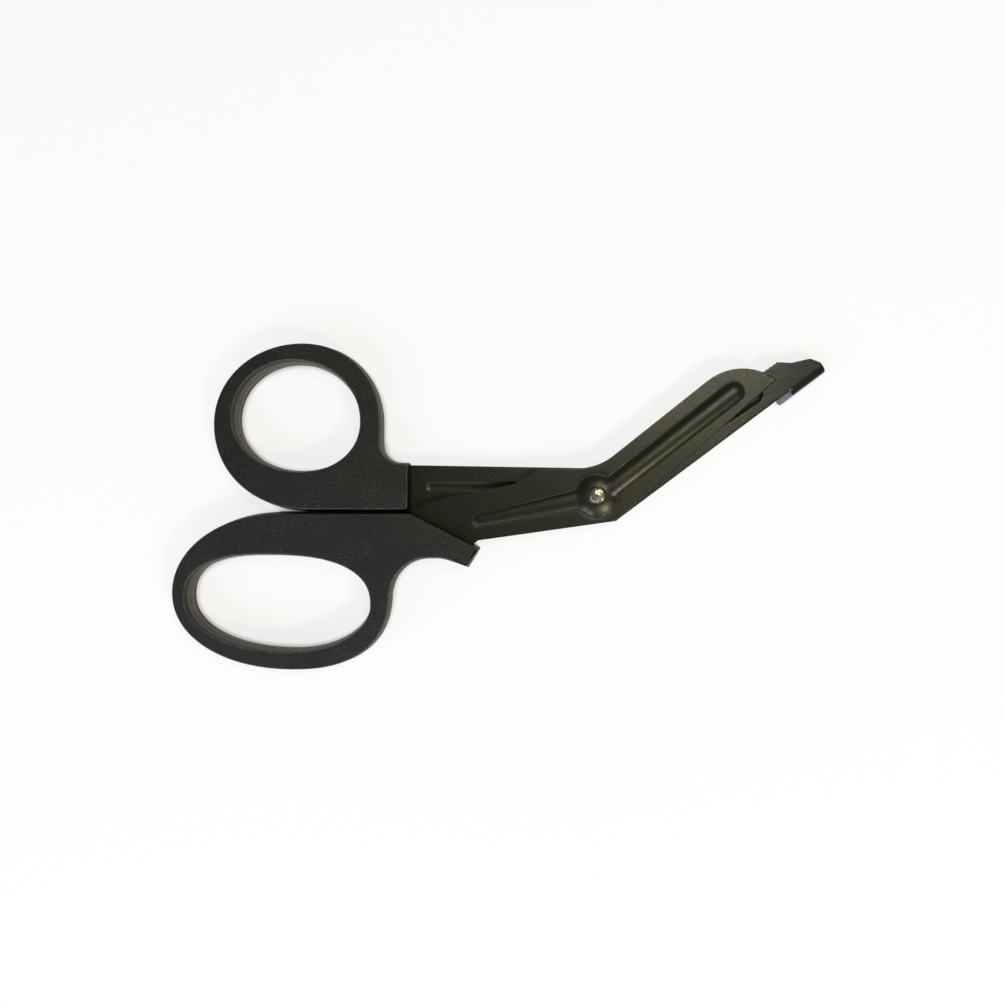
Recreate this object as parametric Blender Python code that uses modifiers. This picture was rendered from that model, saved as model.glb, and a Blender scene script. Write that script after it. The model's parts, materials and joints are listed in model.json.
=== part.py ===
"""Trauma shears with bent blades, a blunt folded foot and moulded plastic handles.

The shears lie closed on the XY plane with +Z towards the viewer and the blades towards +X.
Every outline is drawn in millimetres of the real object, written in metres, from the axis of the
pivot rivet. The rear half stays still and the front half turns about that axis.
"""

import math

import bmesh
import bpy
from mathutils import Matrix, Vector

# Place of the pivot axis, measured from the middle of the whole object.
PIVOT_X = 0.02743
PIVOT_Y = 0.00312

# Sheet steel of the two blades.
SHEET = 0.0015
BLADE_GAP = 0.0003
HEEL_X = 0.0057
HEEL_Y = -0.00735
SHANK_TOP = 0.0079

# Front blade, with the pointed tip.
FRONT_EDGE_LENGTH = 0.0620
FRONT_EDGE_ANGLE = math.radians(41.4)
FRONT_SPINE_START_X = 0.0003
FRONT_SPINE_ANGLE = math.radians(38.5)
FRONT_BEND_RADIUS = 0.0180
TIP_ANGLE = math.radians(33.0)
SHOULDER_RADIUS = 0.0162
FRONT_SHANK_SWELL = (-0.0470, -0.0014, 0.030)
FRONT_SHANK_DIP = (-0.0240, 0.0033, 0.010)
FRONT_SHANK_RISE = (-0.0168, 0.0078, 0.006)
FRONT_SHANK_FOOT = (-0.0344, -0.0130)
FRONT_SHANK_TOP_MARGIN = 0.0002
FRONT_SHANK_NUB_MARGIN = 0.0021

# Rear blade, with the serrated edge and the folded foot.
REAR_HEEL_X = 0.00575
REAR_HEEL_Y = -0.00745
REAR_EDGE_START_X = 0.0070
REAR_EDGE_LENGTH = 0.0555
REAR_EDGE_ANGLE = math.radians(34.1)
REAR_SPINE_ANGLE = math.radians(36.8)
REAR_SHANK_TOP_RISE = 0.0010
REAR_SHANK_BOTTOM = -0.0043
REAR_SHANK_BELLY = (-0.0350, -0.0052, 0.030)
REAR_SHANK_SLOPE = (-0.0150, -0.0070, 0.030)
TOOTH_PITCH = 0.00125
TOOTH_DEPTH = 0.00025
BEVEL_WIDTH = 0.0006
EDGE_THICKNESS = 0.0006

# Foot at the end of the rear blade.
FOOT_START = 0.0645
FOOT_LENGTH = 0.0112
FOOT_BEND_RADIUS = 0.00085
FOOT_FOLD_INSET = 0.0004
FOOT_TAB_LENGTH = 0.0047
FOOT_CORNER_RADIUS = 0.0012
FOOT_RELIEF = 0.0008
FOOT_TAB_RISE = 0.0002
FOOT_TOE_RISE = 0.0009
FOOT_TOP_FRONT = (0.0095, 0.0040, 0.0016)
FOOT_TOP_BACK = (0.0043, 0.0063, 0.0030)

# Beads pressed along both blades, and the boss round the rivet.
BEAD_HALF_WIDTH = 0.0029
BEAD_END_HALF_WIDTH = 0.0015
BEAD_RISE_RATIO = 0.60
FRONT_BEAD_START = (0.0047, 0.0026)
FRONT_BEAD_ANGLE = math.radians(37.9)
FRONT_BEAD_LENGTH = 0.0444
FRONT_SHANK_BEAD_START = (-0.0341, -0.0072)
FRONT_SHANK_BEAD_END = (-0.0040, -0.0010)
REAR_BEAD_START = (0.0055, 0.0025)
REAR_BEAD_ANGLE = math.radians(33.8)
REAR_BEAD_LENGTH = 0.0487
REAR_SHANK_BEAD_START = (-0.0481, 0.0027)
REAR_SHANK_BEAD_END = (-0.0045, 0.0010)
BOSS_RADIUS = 0.0059
BOSS_RISE = 0.0012
BOSS_CROWN = 3.0

# Pivot rivet.
RIVET_SHANK_RADIUS = 0.0015
RIVET_HEAD_RADIUS = 0.0022
RIVET_HEAD_HEIGHT = 0.0008
RIVET_HEAD_EDGE = 0.0003
RIVET_PLAY = 0.00015
SEAT_DEPTH = 0.00025
SEAT_MARGIN = 0.0004
SEAT_GAP = 0.0003

# Section shared by both handles.
HANDLE_THICKNESS = 0.0100
HANDLE_DRAFT = 0.0004
HANDLE_EDGE_RADIUS = 0.00035
PARTING_LAND = 0.0004
HANDLE_GAP = 0.0003
HANDLE_SPLIT_Y = -0.0046

# Each bow is made of two ovals, its hole and its outer side. An oval's TOUCH gives where it touches its
# box, as shares of the box's width or height: on the top, the right, the bottom and the left. Its
# FULLNESS gives how square its quarters are, from the upper left round to the lower left.

# Thumb handle, over the rear blade's tang.
THUMB_FRONT_X = -0.0540
THUMB_NECK_TOP = 0.0096
THUMB_NECK_FILLET = 0.0054
THUMB_FRONT_TOP_RADIUS = 0.0008
THUMB_FRONT_BOTTOM_RADIUS = 0.0014
THUMB_HOLE_WIDTH = 0.0357
THUMB_HOLE_HEIGHT = 0.0310
THUMB_HOLE_SETBACK = 0.0146
THUMB_HOLE_TOUCH = (0.476, 0.449, 0.529, 0.490)
THUMB_HOLE_FULLNESS = (2.01, 2.06, 2.11, 2.06)
THUMB_WALL_BELOW = 0.0117
THUMB_WALL_TOP = 0.0058
THUMB_WALL_BACK = 0.0061
THUMB_WALL_FRONT = 0.0067
THUMB_OUTER_TOUCH = (0.533, 0.536, 0.558, 0.514)
THUMB_OUTER_FULLNESS = (2.02, 2.06, 2.00, 2.08)

# Finger handle, over the front blade's tang.
FINGER_CORNER_X = -0.0537
FINGER_CORNER_RADIUS = 0.0006
FINGER_SLANT_LENGTH = 0.0226
FINGER_SLANT_ANGLE = math.radians(-27.2)
NUB_LENGTH = 0.0068
NUB_ANGLE = math.radians(-121.5)
NUB_CORNER_RADIUS = 0.0004
FINGER_NECK_FRONT = (-0.0075, 0.0026, 0.010)
FINGER_NECK_BACK = (0.0026, 0.0026, 0.0105)
FINGER_HOLE_WIDTH = 0.0522
FINGER_HOLE_HEIGHT = 0.0272
FINGER_HOLE_SETBACK = 0.0120
FINGER_HOLE_TOUCH = (0.414, 0.476, 0.577, 0.559)
FINGER_HOLE_FULLNESS = (2.44, 2.50, 1.97, 2.12)
FINGER_WALL_ABOVE = 0.01255
FINGER_WALL_BELOW = 0.0058
FINGER_WALL_BACK = 0.0045
FINGER_WALL_FRONT = 0.0063
FINGER_OUTER_TOUCH = (0.484, 0.480, 0.564, 0.496)
FINGER_OUTER_FULLNESS = (2.00, 2.00, 2.34, 2.11)

# Tangs inside the handles.
TANG_LENGTH = 0.0200
TANG_WIDTH = 0.0070
TANG_CLEARANCE = 0.0003
SHOULDER_GAP = 0.00035
THUMB_TANG_Y = 0.0022
FINGER_TANG_SHARE = 0.53
FINGER_TANG_ANGLE = math.radians(184)

# Smoothness of the round stretches.
QUARTER_STEPS = 12
FILLET_STEPS = 6
TURNED_STEPS = 48
SEAT_STEPS = 32
EDGE_STEPS = 3
FOOT_BEND_STEPS = 6
CROWN_RINGS = 8
BEAD_ROUND_STEPS = 8
BEAD_END_LEAD = 0.35
WELD_DISTANCE = 0.000001
TURNED_WELD_DISTANCE = 0.00001

# Heights worked out from the sizes above.
MIDDLE_Z = HANDLE_THICKNESS / 2
FRONT_INNER_Z = MIDDLE_Z + BLADE_GAP / 2
FRONT_OUTER_Z = FRONT_INNER_Z + SHEET
REAR_INNER_Z = MIDDLE_Z - BLADE_GAP / 2
REAR_OUTER_Z = REAR_INNER_Z - SHEET
THUMB_UNDERSIDE_Y = HANDLE_SPLIT_Y + HANDLE_GAP / 2
FINGER_TOP_Y = HANDLE_SPLIT_Y - HANDLE_GAP / 2
FOOT_BEND_LENGTH = math.pi / 2 * (FOOT_BEND_RADIUS + SHEET / 2)
TOOTH_COUNT = round(REAR_EDGE_LENGTH / TOOTH_PITCH)
TOOTH_SPACING = REAR_EDGE_LENGTH / TOOTH_COUNT


class Line:
    """A straight line in the plane, to place points along it and beside it."""

    def __init__(self, x, y, angle):
        self.angle = angle
        self.start = Vector((x, y))
        self.along = Vector((math.cos(angle), math.sin(angle)))
        self.left = Vector((-math.sin(angle), math.cos(angle)))

    def point(self, distance, offset=0.0):
        spot = self.start + self.along * distance + self.left * offset
        return (spot.x, spot.y)

    def meets(self, other):
        """Distance along this line at which it meets another line."""
        between = other.start - self.start
        turn = self.along.cross(other.along)
        return between.cross(other.along) / turn


FRONT_EDGE = Line(HEEL_X, HEEL_Y, FRONT_EDGE_ANGLE)
FRONT_SPINE = Line(FRONT_SPINE_START_X, SHANK_TOP, FRONT_SPINE_ANGLE)
REAR_EDGE = Line(REAR_EDGE_START_X, SHANK_TOP, REAR_EDGE_ANGLE)
REAR_SPINE = Line(REAR_HEEL_X, REAR_HEEL_Y, REAR_SPINE_ANGLE)
SLANT = Line(FINGER_CORNER_X, FINGER_TOP_Y, FINGER_SLANT_ANGLE)


def rounded(corners):
    """Outline points for corners given as (x, y) or (x, y, radius), each radius turned into an arc."""
    points = []
    count = len(corners)
    for index, corner in enumerate(corners):
        here = Vector(corner[:2])
        radius = corner[2] if len(corner) > 2 else 0.0
        if radius <= 0.0:
            points.append((here.x, here.y))
            continue
        before = Vector(corners[index - 1][:2]) - here
        after = Vector(corners[(index + 1) % count][:2]) - here
        half_angle = before.angle(after) / 2
        reach = radius / math.tan(half_angle)
        middle = (before.normalized() + after.normalized()).normalized()
        centre = here + middle * (radius / math.sin(half_angle))
        first = here + before.normalized() * reach - centre
        sweep = first.angle_signed(here + after.normalized() * reach - centre)
        for step in range(FILLET_STEPS + 1):
            turned = Matrix.Rotation(-sweep * step / FILLET_STEPS, 2) @ first
            points.append((centre.x + turned.x, centre.y + turned.y))
    return points


def quarter(side, peak, fullness=2.0):
    """Quarter of a full oval from its side point, where it runs along Y, to its top or bottom point."""
    points = []
    for step in range(QUARTER_STEPS + 1):
        angle = math.pi / 2 * step / QUARTER_STEPS
        across = math.cos(angle) ** (2 / fullness)
        up = math.sin(angle) ** (2 / fullness)
        points.append((peak[0] + (side[0] - peak[0]) * across, side[1] + (peak[1] - side[1]) * up))
    return points


class Oval:
    """Oval that fills a box from its low corner to its high corner, touching each side at a given share."""

    def __init__(self, low, high, touch, fullness):
        size = (high[0] - low[0], high[1] - low[1])
        self.top = (low[0] + size[0] * touch[0], high[1])
        self.right = (high[0], low[1] + size[1] * touch[1])
        self.bottom = (low[0] + size[0] * touch[2], low[1])
        self.left = (low[0], low[1] + size[1] * touch[3])
        self.fullness = fullness

    def upper_left(self):
        return quarter(self.left, self.top, self.fullness[0])

    def upper_right(self):
        return quarter(self.right, self.top, self.fullness[1])[::-1]

    def lower_right(self):
        return quarter(self.right, self.bottom, self.fullness[2])

    def lower_left(self):
        return quarter(self.left, self.bottom, self.fullness[3])[::-1]

    def loop(self):
        quarters = (self.upper_left(), self.upper_right(), self.lower_right(), self.lower_left())
        return [point for points in quarters for point in points[:-1]]


def clear_scene():
    for item in list(bpy.data.objects):
        bpy.data.objects.remove(item, do_unlink=True)


def make_collection(name):
    collection = bpy.data.collections.new(name)
    bpy.context.scene.collection.children.link(collection)
    return collection


def make_material(name, colour, roughness, metallic=0.0):
    material = bpy.data.materials.new(name)
    material.use_nodes = True
    shader = material.node_tree.nodes["Principled BSDF"]
    shader.inputs["Base Color"].default_value = (*colour, 1.0)
    shader.inputs["Roughness"].default_value = roughness
    shader.inputs["Metallic"].default_value = metallic
    return material


def add_object(name, mesh, collection, carrier):
    item = bpy.data.objects.new(name, mesh)
    collection.objects.link(item)
    item.parent = carrier
    return item


def finished(item, material):
    """Give a piece its material and smooth shading with sharp edges kept."""
    item.data.materials.clear()
    item.data.materials.append(material)
    item.data.shade_smooth()
    item.data.set_sharp_from_angle(angle=math.radians(30))
    return item


def as_cutter(item):
    item.hide_render = True
    item.display_type = "WIRE"
    return item


def flat_curve(name, loops, half_height):
    """Filled 2D curve of one or more closed loops, extruded to both sides of its plane."""
    curve = bpy.data.curves.new(name, "CURVE")
    curve.dimensions = "2D"
    curve.fill_mode = "BOTH"
    curve.extrude = half_height
    for loop in loops:
        spline = curve.splines.new("POLY")
        spline.points.add(len(loop) - 1)
        spline.use_cyclic_u = True
        for point, (x, y) in zip(spline.points, loop):
            point.co = (x, y, 0.0, 1.0)
    return curve


def mesh_from_curve(name, curve):
    """Closed mesh of a curve, with its caps welded to its walls."""
    holder = bpy.data.objects.new(name, curve)
    bpy.context.scene.collection.objects.link(holder)
    shape = holder.evaluated_get(bpy.context.evaluated_depsgraph_get())
    mesh = bpy.data.meshes.new_from_object(shape)
    bpy.data.objects.remove(holder, do_unlink=True)
    work = bmesh.new()
    work.from_mesh(mesh)
    bmesh.ops.remove_doubles(work, verts=work.verts, dist=WELD_DISTANCE)
    bmesh.ops.recalc_face_normals(work, faces=work.faces)
    work.to_mesh(mesh)
    work.free()
    return mesh


def plate(name, loops, low_z, high_z, collection, carrier):
    """Flat plate between two heights."""
    mesh = mesh_from_curve(name, flat_curve(name, loops, (high_z - low_z) / 2))
    mesh.transform(Matrix.Translation((0.0, 0.0, (low_z + high_z) / 2)))
    return add_object(name, mesh, collection, carrier)


def turned(name, profile, steps, collection, carrier):
    """Solid of revolution about Z, from a profile that runs down its outer side."""
    mesh = bpy.data.meshes.new(name)
    points = [(radius, 0.0, height) for radius, height in profile]
    edges = [(index, index + 1) for index in range(len(points) - 1)]
    mesh.from_pydata(points, edges, [])
    item = add_object(name, mesh, collection, carrier)
    screw = item.modifiers.new("turn", "SCREW")
    screw.steps = steps
    screw.render_steps = steps
    screw.use_merge_vertices = True
    screw.merge_threshold = TURNED_WELD_DISTANCE
    return item


def combine(item, operation, tool):
    boolean = item.modifiers.new(tool.name, "BOOLEAN")
    boolean.operation = operation
    boolean.object = tool
    boolean.solver = "EXACT"


def bead_tube(name, start, end, start_half, end_half, level, sense, sheet_shift, collection, carrier):
    """Rounded ridge along a straight line, cut flat at the level of the sheet's middle.

    The ridge swells from start_half to end_half. The sense is 1 for a bead pressed up and -1 for one
    pressed down, and sheet_shift moves it one sheet inwards to make the hollow behind the bead.
    """
    half_sheet_reach = SHEET / 2 / BEAD_RISE_RATIO
    line = Vector(end) - Vector(start)
    length = line.length
    direction = line.normalized()
    stations = []
    for step in range(FILLET_STEPS):
        angle = math.pi / 2 * (step + BEAD_END_LEAD) / FILLET_STEPS
        stations.append((-math.cos(angle) * start_half, math.sin(angle)))
    stations += [(length * share, 1.0) for share in (0.0, 0.5, 1.0)]
    for step in reversed(range(FILLET_STEPS)):
        angle = math.pi / 2 * (step + BEAD_END_LEAD) / FILLET_STEPS
        stations.append((length + math.cos(angle) * end_half, math.sin(angle)))
    curve = bpy.data.curves.new(name, "CURVE")
    curve.dimensions = "3D"
    curve.bevel_depth = 1.0
    curve.bevel_resolution = BEAD_ROUND_STEPS
    curve.use_fill_caps = True
    spline = curve.splines.new("POLY")
    spline.points.add(len(stations) - 1)
    for point, (distance, share) in zip(spline.points, stations):
        swell = min(max(distance / length, 0.0), 1.0)
        half = (start_half + (end_half - start_half) * swell) * share
        spot = Vector(start) + direction * distance
        point.co = (spot.x, spot.y, 0.0, 1.0)
        point.radius = math.hypot(half, half_sheet_reach * share)
    mesh = mesh_from_curve(name, curve)
    work = bmesh.new()
    work.from_mesh(mesh)
    geometry = work.verts[:] + work.edges[:] + work.faces[:]
    cut = bmesh.ops.bisect_plane(
        work, geom=geometry, plane_co=(0, 0, 0), plane_no=(0, 0, -1), clear_outer=True)
    rim = [part for part in cut["geom_cut"] if isinstance(part, bmesh.types.BMEdge)]
    bmesh.ops.edgeloop_fill(work, edges=rim)
    squash = Matrix.Diagonal((1.0, 1.0, sense * BEAD_RISE_RATIO, 1.0))
    bmesh.ops.transform(work, matrix=Matrix.Translation((0, 0, level - sense * sheet_shift)) @ squash,
                        verts=work.verts)
    bmesh.ops.recalc_face_normals(work, faces=work.faces)
    work.to_mesh(mesh)
    work.free()
    return as_cutter(add_object(name, mesh, collection, carrier))


def boss_dome(name, level, sense, sheet_shift, collection, carrier):
    """Crowned dome round the pivot, solid down to the level of the sheet's middle."""
    surface = level + sense * (SHEET / 2 - sheet_shift)
    crown = []
    for step in range(CROWN_RINGS + 1):
        share = step / CROWN_RINGS
        crown.append((BOSS_RADIUS * share, surface + sense * BOSS_RISE * (1 - share ** BOSS_CROWN)))
    base = level - sense * sheet_shift
    profile = crown + [(BOSS_RADIUS, base), (0.0, base)]
    if sense < 0:
        profile.reverse()
    return as_cutter(turned(name, profile, TURNED_STEPS, collection, carrier))


def press_forms(blade, level, sense, beads, cutters, carrier):
    """Press beads and boss into a flat blade: raised on its outer face, hollow on its inner face."""
    for shift, operation in ((0.0, "UNION"), (SHEET, "DIFFERENCE")):
        kind = "raised" if operation == "UNION" else "hollow"
        for label, start, end, start_half, end_half in beads:
            tool = bead_tube(f"{blade.name}_{label}_{kind}", start, end, start_half, end_half,
                             level, sense, shift, cutters, carrier)
            combine(blade, operation, tool)
        dome = boss_dome(f"{blade.name}_boss_{kind}", level, sense, shift, cutters, carrier)
        combine(blade, operation, dome)


def pierce_for_rivet(blade, outer_z, sense, cutters, carrier):
    """Rivet hole through the boss, widened on top of it into a flat seat for the rivet's head."""
    floor = outer_z + sense * (BOSS_RISE - SEAT_DEPTH)
    above = outer_z + sense * (BOSS_RISE + SHEET)
    below = outer_z - sense * 2 * SHEET
    hole_radius = RIVET_SHANK_RADIUS + RIVET_PLAY
    seat_radius = RIVET_HEAD_RADIUS + SEAT_MARGIN
    profile = [
        (0.0, above),
        (seat_radius, above),
        (seat_radius, floor),
        (hole_radius, floor),
        (hole_radius, below),
        (0.0, below),
    ]
    if sense < 0:
        profile.reverse()
    tool = turned(f"{blade.name}_rivet_hole", profile, SEAT_STEPS, cutters, carrier)
    combine(blade, "DIFFERENCE", as_cutter(tool))


def grind_edge(blade, edge, length, outer_z, sense, cutters, carrier):
    """Grind the bevel of a cutting edge with a tilted block that meets the steel along the edge."""
    depth = SHEET - EDGE_THICKNESS
    tilt = math.atan2(depth, BEVEL_WIDTH)
    steel_side = 1 if edge is FRONT_EDGE else -1
    work = bmesh.new()
    bmesh.ops.create_cube(work, size=1.0)
    bmesh.ops.scale(work, vec=(length, 6 * BEVEL_WIDTH, 2 * SHEET), verts=work.verts)
    bmesh.ops.translate(work, vec=(length / 2, 0.0, SHEET), verts=work.verts)
    lean = Matrix.Rotation(steel_side * tilt, 3, "X")
    bmesh.ops.rotate(work, cent=(0, 0, 0), matrix=lean, verts=work.verts)
    bmesh.ops.translate(work, vec=(0.0, 0.0, -depth), verts=work.verts)
    bmesh.ops.scale(work, vec=(1.0, 1.0, sense), verts=work.verts)
    bmesh.ops.recalc_face_normals(work, faces=work.faces)
    mesh = bpy.data.meshes.new(f"{blade.name}_grinding")
    work.to_mesh(mesh)
    work.free()
    mesh.transform(Matrix.Translation((*edge.start, outer_z)) @ Matrix.Rotation(edge.angle, 4, "Z"))
    combine(blade, "DIFFERENCE", as_cutter(add_object(mesh.name, mesh, cutters, carrier)))


def tang_corners(line, lead, grow):
    """Corners of a tang and of the space for it: lower front, lower back, upper back, upper front."""
    half = TANG_WIDTH / 2 + grow
    back = TANG_LENGTH + grow
    stations = ((-lead, half), (back, half), (back, -half), (-lead, -half))
    return [line.point(distance, offset) for distance, offset in stations]


def tang_outline(line, face):
    """Tang corners from its lower root on the face of the handle, round its end, to its upper root."""
    back_lower, back_upper = tang_corners(line, 0.0, 0.0)[1:3]
    lower = Line(*back_lower, line.angle)
    upper = Line(*back_upper, line.angle)
    return [lower.point(lower.meets(face)), back_lower, back_upper, upper.point(upper.meets(face))]


THUMB_TANG = Line(THUMB_FRONT_X, THUMB_TANG_Y, math.pi)
FINGER_TANG = Line(*SLANT.point(FINGER_SLANT_LENGTH * FINGER_TANG_SHARE), FINGER_TANG_ANGLE)


def front_blade_outline():
    tip = FRONT_EDGE.point(FRONT_EDGE_LENGTH)
    slope = Line(*tip, math.pi - TIP_ANGLE)
    shoulder = slope.point(slope.meets(FRONT_SPINE))
    face = Line(*SLANT.point(0.0, SHOULDER_GAP), FINGER_SLANT_ANGLE)
    return rounded([
        face.point(FRONT_SHANK_TOP_MARGIN),
        FRONT_SHANK_SWELL,
        FRONT_SHANK_DIP,
        FRONT_SHANK_RISE,
        (FRONT_SPINE_START_X, SHANK_TOP, FRONT_BEND_RADIUS),
        (*shoulder, SHOULDER_RADIUS),
        tip,
        (HEEL_X, HEEL_Y),
        FRONT_SHANK_FOOT,
        face.point(FINGER_SLANT_LENGTH - FRONT_SHANK_NUB_MARGIN),
        *tang_outline(FINGER_TANG, face),
    ])


def build_front_blade(parts, cutters, carrier):
    blade = plate("front_blade", [front_blade_outline()], FRONT_INNER_Z, FRONT_OUTER_Z, parts, carrier)
    bead = Line(*FRONT_BEAD_START, FRONT_BEAD_ANGLE)
    beads = [
        ("blade_bead", bead.point(0.0), bead.point(FRONT_BEAD_LENGTH), BEAD_HALF_WIDTH, BEAD_HALF_WIDTH),
        ("shank_bead", FRONT_SHANK_BEAD_START, FRONT_SHANK_BEAD_END, BEAD_END_HALF_WIDTH, BEAD_HALF_WIDTH),
    ]
    press_forms(blade, FRONT_OUTER_Z - SHEET / 2, 1, beads, cutters, carrier)
    pierce_for_rivet(blade, FRONT_OUTER_Z, 1, cutters, carrier)
    grind_edge(blade, FRONT_EDGE, FRONT_EDGE_LENGTH + BEVEL_WIDTH, FRONT_OUTER_Z, 1, cutters, carrier)
    return blade


def serrated_edge():
    """Points of the rear cutting edge from its far end back to its start, with a notch for each tooth."""
    points = []
    for tooth in range(TOOTH_COUNT, 0, -1):
        points.append(REAR_EDGE.point(tooth * TOOTH_SPACING))
        points.append(REAR_EDGE.point((tooth - 0.5) * TOOTH_SPACING, -TOOTH_DEPTH))
    points.append(REAR_EDGE.point(0.0))
    return points


def foot_corner(corner):
    """Outline corner on the foot, given by its distance past the foot's start, its offset and its radius."""
    distance, offset, radius = corner
    return (*REAR_SPINE.point(FOOT_START + distance, offset), radius)


def rear_blade_outline():
    """Flat blank of the rear blade, with the foot not yet folded."""
    fold = FOOT_FOLD_INSET
    bend_end = fold - FOOT_BEND_LENGTH + FOOT_TAB_RISE
    bottom = fold - FOOT_BEND_LENGTH - (REAR_OUTER_Z - FOOT_BEND_RADIUS)
    end = FOOT_START + FOOT_LENGTH
    tab = FOOT_START - FOOT_TAB_LENGTH
    face = Line(THUMB_FRONT_X + SHOULDER_GAP, 0.0, math.pi / 2)
    return rounded([
        (REAR_HEEL_X, REAR_HEEL_Y),
        REAR_SPINE.point(FOOT_START - FOOT_RELIEF),
        REAR_SPINE.point(FOOT_START - FOOT_RELIEF, fold),
        REAR_SPINE.point(FOOT_START, fold),
        REAR_SPINE.point(FOOT_START, bend_end),
        (*REAR_SPINE.point(tab, bend_end), FOOT_CORNER_RADIUS / 2),
        (*REAR_SPINE.point(tab, bottom), FOOT_CORNER_RADIUS),
        (*REAR_SPINE.point(end, bottom), FOOT_CORNER_RADIUS),
        (*REAR_SPINE.point(end, fold + FOOT_TOE_RISE), FOOT_CORNER_RADIUS / 2),
        foot_corner(FOOT_TOP_FRONT),
        foot_corner(FOOT_TOP_BACK),
        *serrated_edge(),
        (face.start.x, SHANK_TOP + REAR_SHANK_TOP_RISE),
        *reversed(tang_outline(THUMB_TANG, face)),
        (face.start.x, REAR_SHANK_BOTTOM),
        REAR_SHANK_BELLY,
        REAR_SHANK_SLOPE,
    ])


def fold_foot(mesh):
    """Fold the foot down: what lies past the fold line is rolled round the bend and then runs straight."""
    work = bmesh.new()
    work.from_mesh(mesh)
    outward = -REAR_SPINE.left
    fold = Line(*REAR_SPINE.point(0.0, FOOT_FOLD_INSET), REAR_SPINE.angle)
    behind = fold.start + fold.along * (FOOT_START - FOOT_TAB_LENGTH - FOOT_RELIEF)
    bmesh.ops.bisect_plane(work, geom=work.verts[:] + work.edges[:] + work.faces[:],
                           plane_co=(*behind, 0.0), plane_no=(*fold.along, 0.0))
    for step in range(FOOT_BEND_STEPS + 1):
        cut = fold.start + outward * (FOOT_BEND_LENGTH * step / FOOT_BEND_STEPS)
        faces = [face for face in work.faces
                 if (face.calc_center_median().xy - behind).dot(fold.along) > 0.0]
        edges = {edge for face in faces for edge in face.edges}
        verts = {vertex for face in faces for vertex in face.verts}
        bmesh.ops.bisect_plane(work, geom=[*verts, *edges, *faces],
                               plane_co=(*cut, 0.0), plane_no=(*outward, 0.0))
    neutral_radius = FOOT_BEND_RADIUS + SHEET / 2
    axis_z = REAR_OUTER_Z - FOOT_BEND_RADIUS
    for vertex in work.verts:
        spot = vertex.co.xy - fold.start
        past = spot.dot(outward)
        along = spot.dot(fold.along)
        in_foot = along > FOOT_START - FOOT_RELIEF / 2 or past > FOOT_BEND_LENGTH / 2
        if past <= 0.0 or not in_foot:
            continue
        angle = min(past / FOOT_BEND_LENGTH, 1.0) * math.pi / 2
        straight = max(past - FOOT_BEND_LENGTH, 0.0)
        radius = vertex.co.z - axis_z
        place = fold.start + fold.along * along + outward * (radius * math.sin(angle))
        vertex.co = (place.x, place.y, axis_z + radius * math.cos(angle) - straight)
    bmesh.ops.triangulate(work, faces=work.faces)
    work.to_mesh(mesh)
    work.free()


def build_rear_blade(parts, cutters, carrier):
    blade = plate("rear_blade", [rear_blade_outline()], REAR_OUTER_Z, REAR_INNER_Z, parts, carrier)
    fold_foot(blade.data)
    bead = Line(*REAR_BEAD_START, REAR_BEAD_ANGLE)
    beads = [
        ("blade_bead", bead.point(0.0), bead.point(REAR_BEAD_LENGTH), BEAD_HALF_WIDTH, BEAD_HALF_WIDTH),
        ("shank_bead", REAR_SHANK_BEAD_START, REAR_SHANK_BEAD_END, BEAD_END_HALF_WIDTH, BEAD_HALF_WIDTH),
    ]
    press_forms(blade, REAR_OUTER_Z + SHEET / 2, -1, beads, cutters, carrier)
    pierce_for_rivet(blade, REAR_OUTER_Z, -1, cutters, carrier)
    grind_edge(blade, REAR_EDGE, REAR_EDGE_LENGTH, REAR_OUTER_Z, -1, cutters, carrier)
    return blade


def build_rivet(parts, carrier):
    """Turned rivet with a chamfered head on each blade's boss."""
    front_seat = FRONT_OUTER_Z + BOSS_RISE - SEAT_DEPTH + SEAT_GAP
    rear_seat = REAR_OUTER_Z - BOSS_RISE + SEAT_DEPTH - SEAT_GAP
    top = front_seat + RIVET_HEAD_HEIGHT
    bottom = rear_seat - RIVET_HEAD_HEIGHT
    profile = [
        (0.0, top),
        (RIVET_HEAD_RADIUS - RIVET_HEAD_EDGE, top),
        (RIVET_HEAD_RADIUS, top - RIVET_HEAD_EDGE),
        (RIVET_HEAD_RADIUS, front_seat),
        (RIVET_SHANK_RADIUS, front_seat),
        (RIVET_SHANK_RADIUS, rear_seat),
        (RIVET_HEAD_RADIUS, rear_seat),
        (RIVET_HEAD_RADIUS, bottom + RIVET_HEAD_EDGE),
        (RIVET_HEAD_RADIUS - RIVET_HEAD_EDGE, bottom),
        (0.0, bottom),
    ]
    return turned("pivot_rivet", profile, SEAT_STEPS, parts, carrier)


def directed(loop, sense):
    """The loop, turned round if needed to run counter-clockwise for a sense of 1, clockwise for -1."""
    pairs = zip(loop, loop[1:] + loop[:1])
    area = sum(here[0] * after[1] - after[0] * here[1] for here, after in pairs)
    return loop if area * sense > 0 else loop[::-1]


def inset_loop(loop, inset):
    """The loop moved to its left by the inset, with its corners kept square."""
    moved = []
    for index, spot in enumerate(loop):
        before = (Vector(spot) - Vector(loop[index - 1])).normalized()
        after = (Vector(loop[(index + 1) % len(loop)]) - Vector(spot)).normalized()
        shift = (before + after).orthogonal() / (1 + before.dot(after))
        moved.append((spot[0] + shift.x * inset, spot[1] + shift.y * inset))
    return moved


def moulded_section():
    """Inset and height of each step of the handle's wall, from its underside up to its top face."""
    half = HANDLE_THICKNESS / 2
    upper = [(0.0, PARTING_LAND / 2)]
    for step in range(EDGE_STEPS + 1):
        angle = math.pi / 2 * step / EDGE_STEPS
        inset = HANDLE_DRAFT + HANDLE_EDGE_RADIUS * (1 - math.cos(angle))
        upper.append((inset, half - HANDLE_EDGE_RADIUS * (1 - math.sin(angle))))
    return [(inset, -height) for inset, height in reversed(upper)] + upper


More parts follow.
